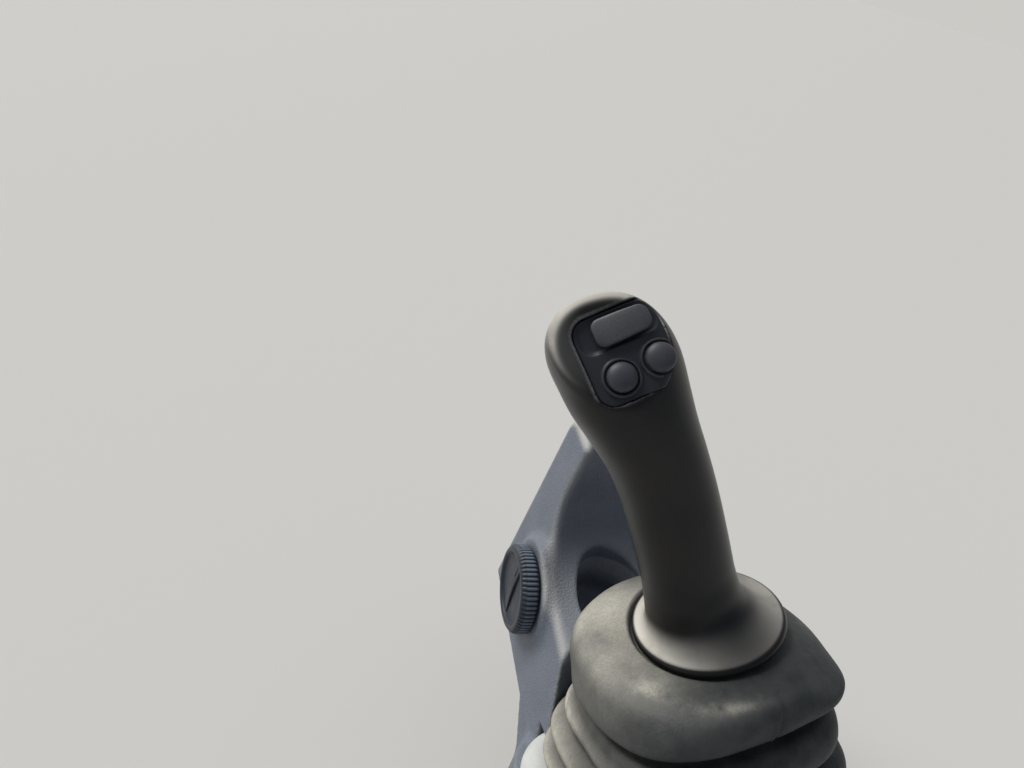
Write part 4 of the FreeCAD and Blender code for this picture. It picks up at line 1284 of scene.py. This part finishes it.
# %% The rubber of the boot
def boot_rubber():
    """Dark rubber with a film of dust, smears, scuffs and stains, and painted light and shade."""
    material, tree, shader = new_material("boot_rubber")
    place = stored(tree, "rest_place", "Vector")
    groove = stored(tree, "groove")
    cloud = between(tree, noise(tree, place, 30.0, 5.0, 0.62), 0.28, 0.72)
    stain = between(tree, noise(tree, place, 95.0, 4.0, 0.6), 0.35, 0.65)
    speck = between(tree, noise(tree, place, 900.0, 2.0), 0.3, 0.7)

    # Painted light: the dust film grows with how far a face turns inboard, up and forward, towards the
    # daylight.
    direction = node(tree, "SeparateXYZ")
    wire(tree, node(tree, "TexCoord").outputs["Normal"], direction.inputs[0])
    inboard = maths(tree, "MULTIPLY", direction.outputs["X"], -0.50)
    upward = maths(tree, "MULTIPLY", direction.outputs["Z"], 0.65)
    forward = maths(tree, "MULTIPLY", direction.outputs["Y"], 0.25)
    facing = between(tree, maths(tree, "ADD", maths(tree, "ADD", inboard, upward), forward), 0.05, 0.75)
    painted_sun_share = maths(tree, "MULTIPLY_ADD", stored(tree, "painted_sunlight"), 1.10, 0.02)
    facing = maths(tree, "MULTIPLY", facing, painted_sun_share)

    film = maths(tree, "MULTIPLY", facing, maths(tree, "MULTIPLY_ADD", cloud, 0.65, 0.35))
    smear = between(tree, noise(tree, place, 52.0, 7.0, 0.66), 0.56, 0.74)
    scuff = between(tree, noise(tree, place, 75.0, 7.0, 0.7), 0.38, 0.62)
    scuff = maths(tree, "MULTIPLY", stored(tree, "scuffed"), scuff)
    smear = maths(tree, "ADD", maths(tree, "MULTIPLY", smear, 0.10), maths(tree, "MULTIPLY", scuff, 0.55))
    # Painted shade: the grooves lose their dust film.
    clear_of_groove_shade = maths(tree, "SUBTRACT", 1.0, maths(tree, "MULTIPLY", groove, 0.85))
    film = maths(tree, "MULTIPLY", maths(tree, "ADD", film, smear), clear_of_groove_shade)
    film = maths(tree, "MULTIPLY", film, maths(tree, "MULTIPLY_ADD", speck, 0.3, 0.75), clamp=True)

    rubber = mixed(tree, cloud, (0.014, 0.018, 0.021), (0.036, 0.040, 0.042))
    # Painted shade: darker rubber deep in the grooves.
    rubber = mixed(tree, maths(tree, "MULTIPLY", groove, 0.8), rubber, (0.009, 0.011, 0.012))
    colour = mixed(tree, film, rubber, (0.46, 0.44, 0.38))
    colour = mixed(tree, maths(tree, "MULTIPLY", stain, 0.16), colour, (0.15, 0.147, 0.135))
    wire(tree, colour, shader.inputs["Base Color"])
    wire(tree, maths(tree, "MULTIPLY_ADD", film, 0.25, 0.56), shader.inputs["Roughness"])
    shader.inputs["Specular IOR Level"].default_value = 0.35

    bump = node(tree, "Bump", None, {"Strength": 1.0, "Distance": 0.00022})
    rough_skin = maths(tree, "ADD", noise(tree, place, 260.0, 5.0, 0.6), maths(tree, "MULTIPLY", speck, 0.25))
    wire(tree, rough_skin, bump.inputs["Height"])
    wire(tree, bump.outputs["Normal"], shader.inputs["Normal"])
    return material


finish["boot_rubber"] = boot_rubber()
print("rubber:", finish["boot_rubber"].name)

# %% [markdown]
# The steel below keeps the CAD's shape. A Bevel node rounds its sharp edges in the shading, and the
# same rounding, compared with the plain normal, shows where paint has worn off the edges.

# %% Node group: softened edges
def edge_group():
    group = bpy.data.node_groups.new("softened_edges", "ShaderNodeTree")
    socket = group.interface.new_socket(name="Radius", in_out="INPUT", socket_type="NodeSocketFloat")
    socket.default_value = 0.0008
    group.interface.new_socket(name="Mask", in_out="OUTPUT", socket_type="NodeSocketFloat")
    group.interface.new_socket(name="Normal", in_out="OUTPUT", socket_type="NodeSocketVector")
    start, end = group.nodes.new("NodeGroupInput"), group.nodes.new("NodeGroupOutput")
    bevel = node(group, "Bevel", {"samples": 6})
    wire(group, start.outputs["Radius"], bevel.inputs["Radius"])
    likeness = node(group, "VectorMath", {"operation": "DOT_PRODUCT"})
    wire(group, bevel.outputs["Normal"], likeness.inputs[0])
    wire(group, node(group, "NewGeometry").outputs["Normal"], likeness.inputs[1])
    wire(group, between(group, likeness.outputs["Value"], 0.995, 0.90), end.inputs["Mask"])
    wire(group, bevel.outputs["Normal"], end.inputs["Normal"])
    return group


soft_edges = edge_group()
print("group", soft_edges.name)

# %% The recipe of a metal piece
METAL_DUST = (0.42, 0.40, 0.35)


def metal_piece(name, colour, bare, metallic, rough, worn, dusty, streak=0.25):
    """Painted, cast or plated steel with bare edges and a little dust."""
    material, tree, shader = new_material(name)
    place = node(tree, "TexCoord").outputs["Object"]
    edge = use(tree, soft_edges)
    cloud = between(tree, noise(tree, place, 60.0, 5.0, 0.6), 0.3, 0.7)
    fine = between(tree, noise(tree, place, 700.0, 3.0), 0.3, 0.7)
    base = mixed(tree, cloud, shade(colour, 1 - streak), shade(colour, 1 + streak))
    chipped = maths(tree, "MULTIPLY", edge["Mask"], maths(tree, "MULTIPLY", fine, worn), clamp=True)
    base = mixed(tree, chipped, base, bare)
    film = use(tree, dust, {"Amount": dusty, "Everywhere": dusty * 0.3})["Mask"]
    wire(tree, mixed(tree, film, base, METAL_DUST), shader.inputs["Base Color"])
    shader.inputs["Metallic"].default_value = metallic
    dull = maths(tree, "MULTIPLY_ADD", film, 0.4, rough)
    dull = maths(tree, "ADD", dull, maths(tree, "MULTIPLY", cloud, 0.12), clamp=True)
    wire(tree, dull, shader.inputs["Roughness"])
    bump = node(tree, "Bump", None, {"Strength": 0.6, "Distance": 0.0001})
    wire(tree, fine, bump.inputs["Height"])
    wire(tree, edge["Normal"], bump.inputs["Normal"])
    wire(tree, bump.outputs["Normal"], shader.inputs["Normal"])
    return material


# %% Materials of the metal pieces
finish["black_paint"] = metal_piece("black_paint", (0.030, 0.031, 0.034), (0.32, 0.30, 0.27),
                                    metallic=0.0, rough=0.38, worn=0.9, dusty=0.18)
finish["cast_body"] = metal_piece("cast_body", (0.16, 0.165, 0.17), (0.30, 0.30, 0.29),
                                  metallic=0.0, rough=0.55, worn=0.5, dusty=0.15)
finish["plated_steel"] = metal_piece("plated_steel", (0.58, 0.57, 0.53), (0.70, 0.69, 0.66),
                                     metallic=1.0, rough=0.32, worn=0.4, dusty=0.10)
print("finishes:", sorted(finish))

# %% [markdown]
# Every solid and every new piece now gets the finish of its slot. The solids' slots come from the
# record, so nothing is left plain.

# %% Give each piece its finish
slot_of = {part["node"]: part["material_slot"] for part in frame["record"]["subparts"]}
for name, obj in nodes.items():
    obj.data.materials.clear()
    obj.data.materials.append(finish[slot_of[name]])
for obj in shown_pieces():
    if "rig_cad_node" not in obj and "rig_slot" in obj:
        obj.data.materials.clear()
        obj.data.materials.append(finish[obj["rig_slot"]])

# %% [markdown]
# ## Floor, light and hand-over
#
# A wide pale floor takes the shadow, and a large soft sun stands ahead, inboard and above.

# %% Floor and sun
FLOOR_REACH = 300000.0
FLOOR_COLOUR = (0.64, 0.63, 0.605)
SUN_PLACE = Vector((-0.45, 0.60, 0.66))

corners = ((-1, -1), (1, -1), (1, 1), (-1, 1))
floor = new_object("floor", [(FLOOR_REACH * x, FLOOR_REACH * y, 0) for x, y in corners], [(0, 1, 2, 3)],
                   smooth=False)
floor_material, _, floor_shader = new_material("floor")
floor_shader.inputs["Base Color"].default_value = (*FLOOR_COLOUR, 1)
floor_shader.inputs["Roughness"].default_value = 0.9
floor_shader.inputs["Specular IOR Level"].default_value = 0.1
floor.data.materials.append(floor_material)

daylight = bpy.data.objects.new("daylight", bpy.data.lights.new("daylight", "SUN"))
daylight.data.energy = 2.75
daylight.data.angle = 0.60
daylight.data.color = (1.0, 0.985, 0.95)
daylight.rotation_euler = SUN_PLACE.to_track_quat("Z", "Y").to_euler()
bpy.context.scene.collection.objects.link(daylight)
print("sun of", daylight.data.energy, "along", [round(v, 2) for v in SUN_PLACE])

# %% [markdown]
# The surroundings light the part too. They are pale near the horizon, like the floor, dimmer above,
# bright ahead and dark behind, which gives the plastic its gleams. The camera itself sees a plain pale
# backdrop instead.

# %% Surroundings
HORIZON = (0.60, 0.595, 0.565)
OVERHEAD = (0.32, 0.34, 0.37)
AHEAD = (1.75, 1.68, 1.56)
BEHIND = (0.21, 0.23, 0.265)

world = bpy.data.worlds.new("studio")
world.use_nodes = True
sky = world.node_tree
direction = node(sky, "SeparateXYZ")
wire(sky, node(sky, "TexCoord").outputs["Generated"], direction.inputs[0])
light = mixed(sky, between(sky, direction.outputs["Z"], 0.04, 0.5), HORIZON, OVERHEAD)
light = mixed(sky, between(sky, direction.outputs["Y"], 0.68, 0.98), light, AHEAD)
light = mixed(sky, between(sky, direction.outputs["Y"], -0.05, -0.55), light, BEHIND)
light = mixed(sky, node(sky, "LightPath").outputs["Is Camera Ray"], light, HORIZON)
wire(sky, light, sky.nodes["Background"].inputs["Color"])
bpy.context.scene.world = world
bpy.context.scene.view_settings.view_transform = "Standard"
print("surroundings of", len(sky.nodes), "nodes")
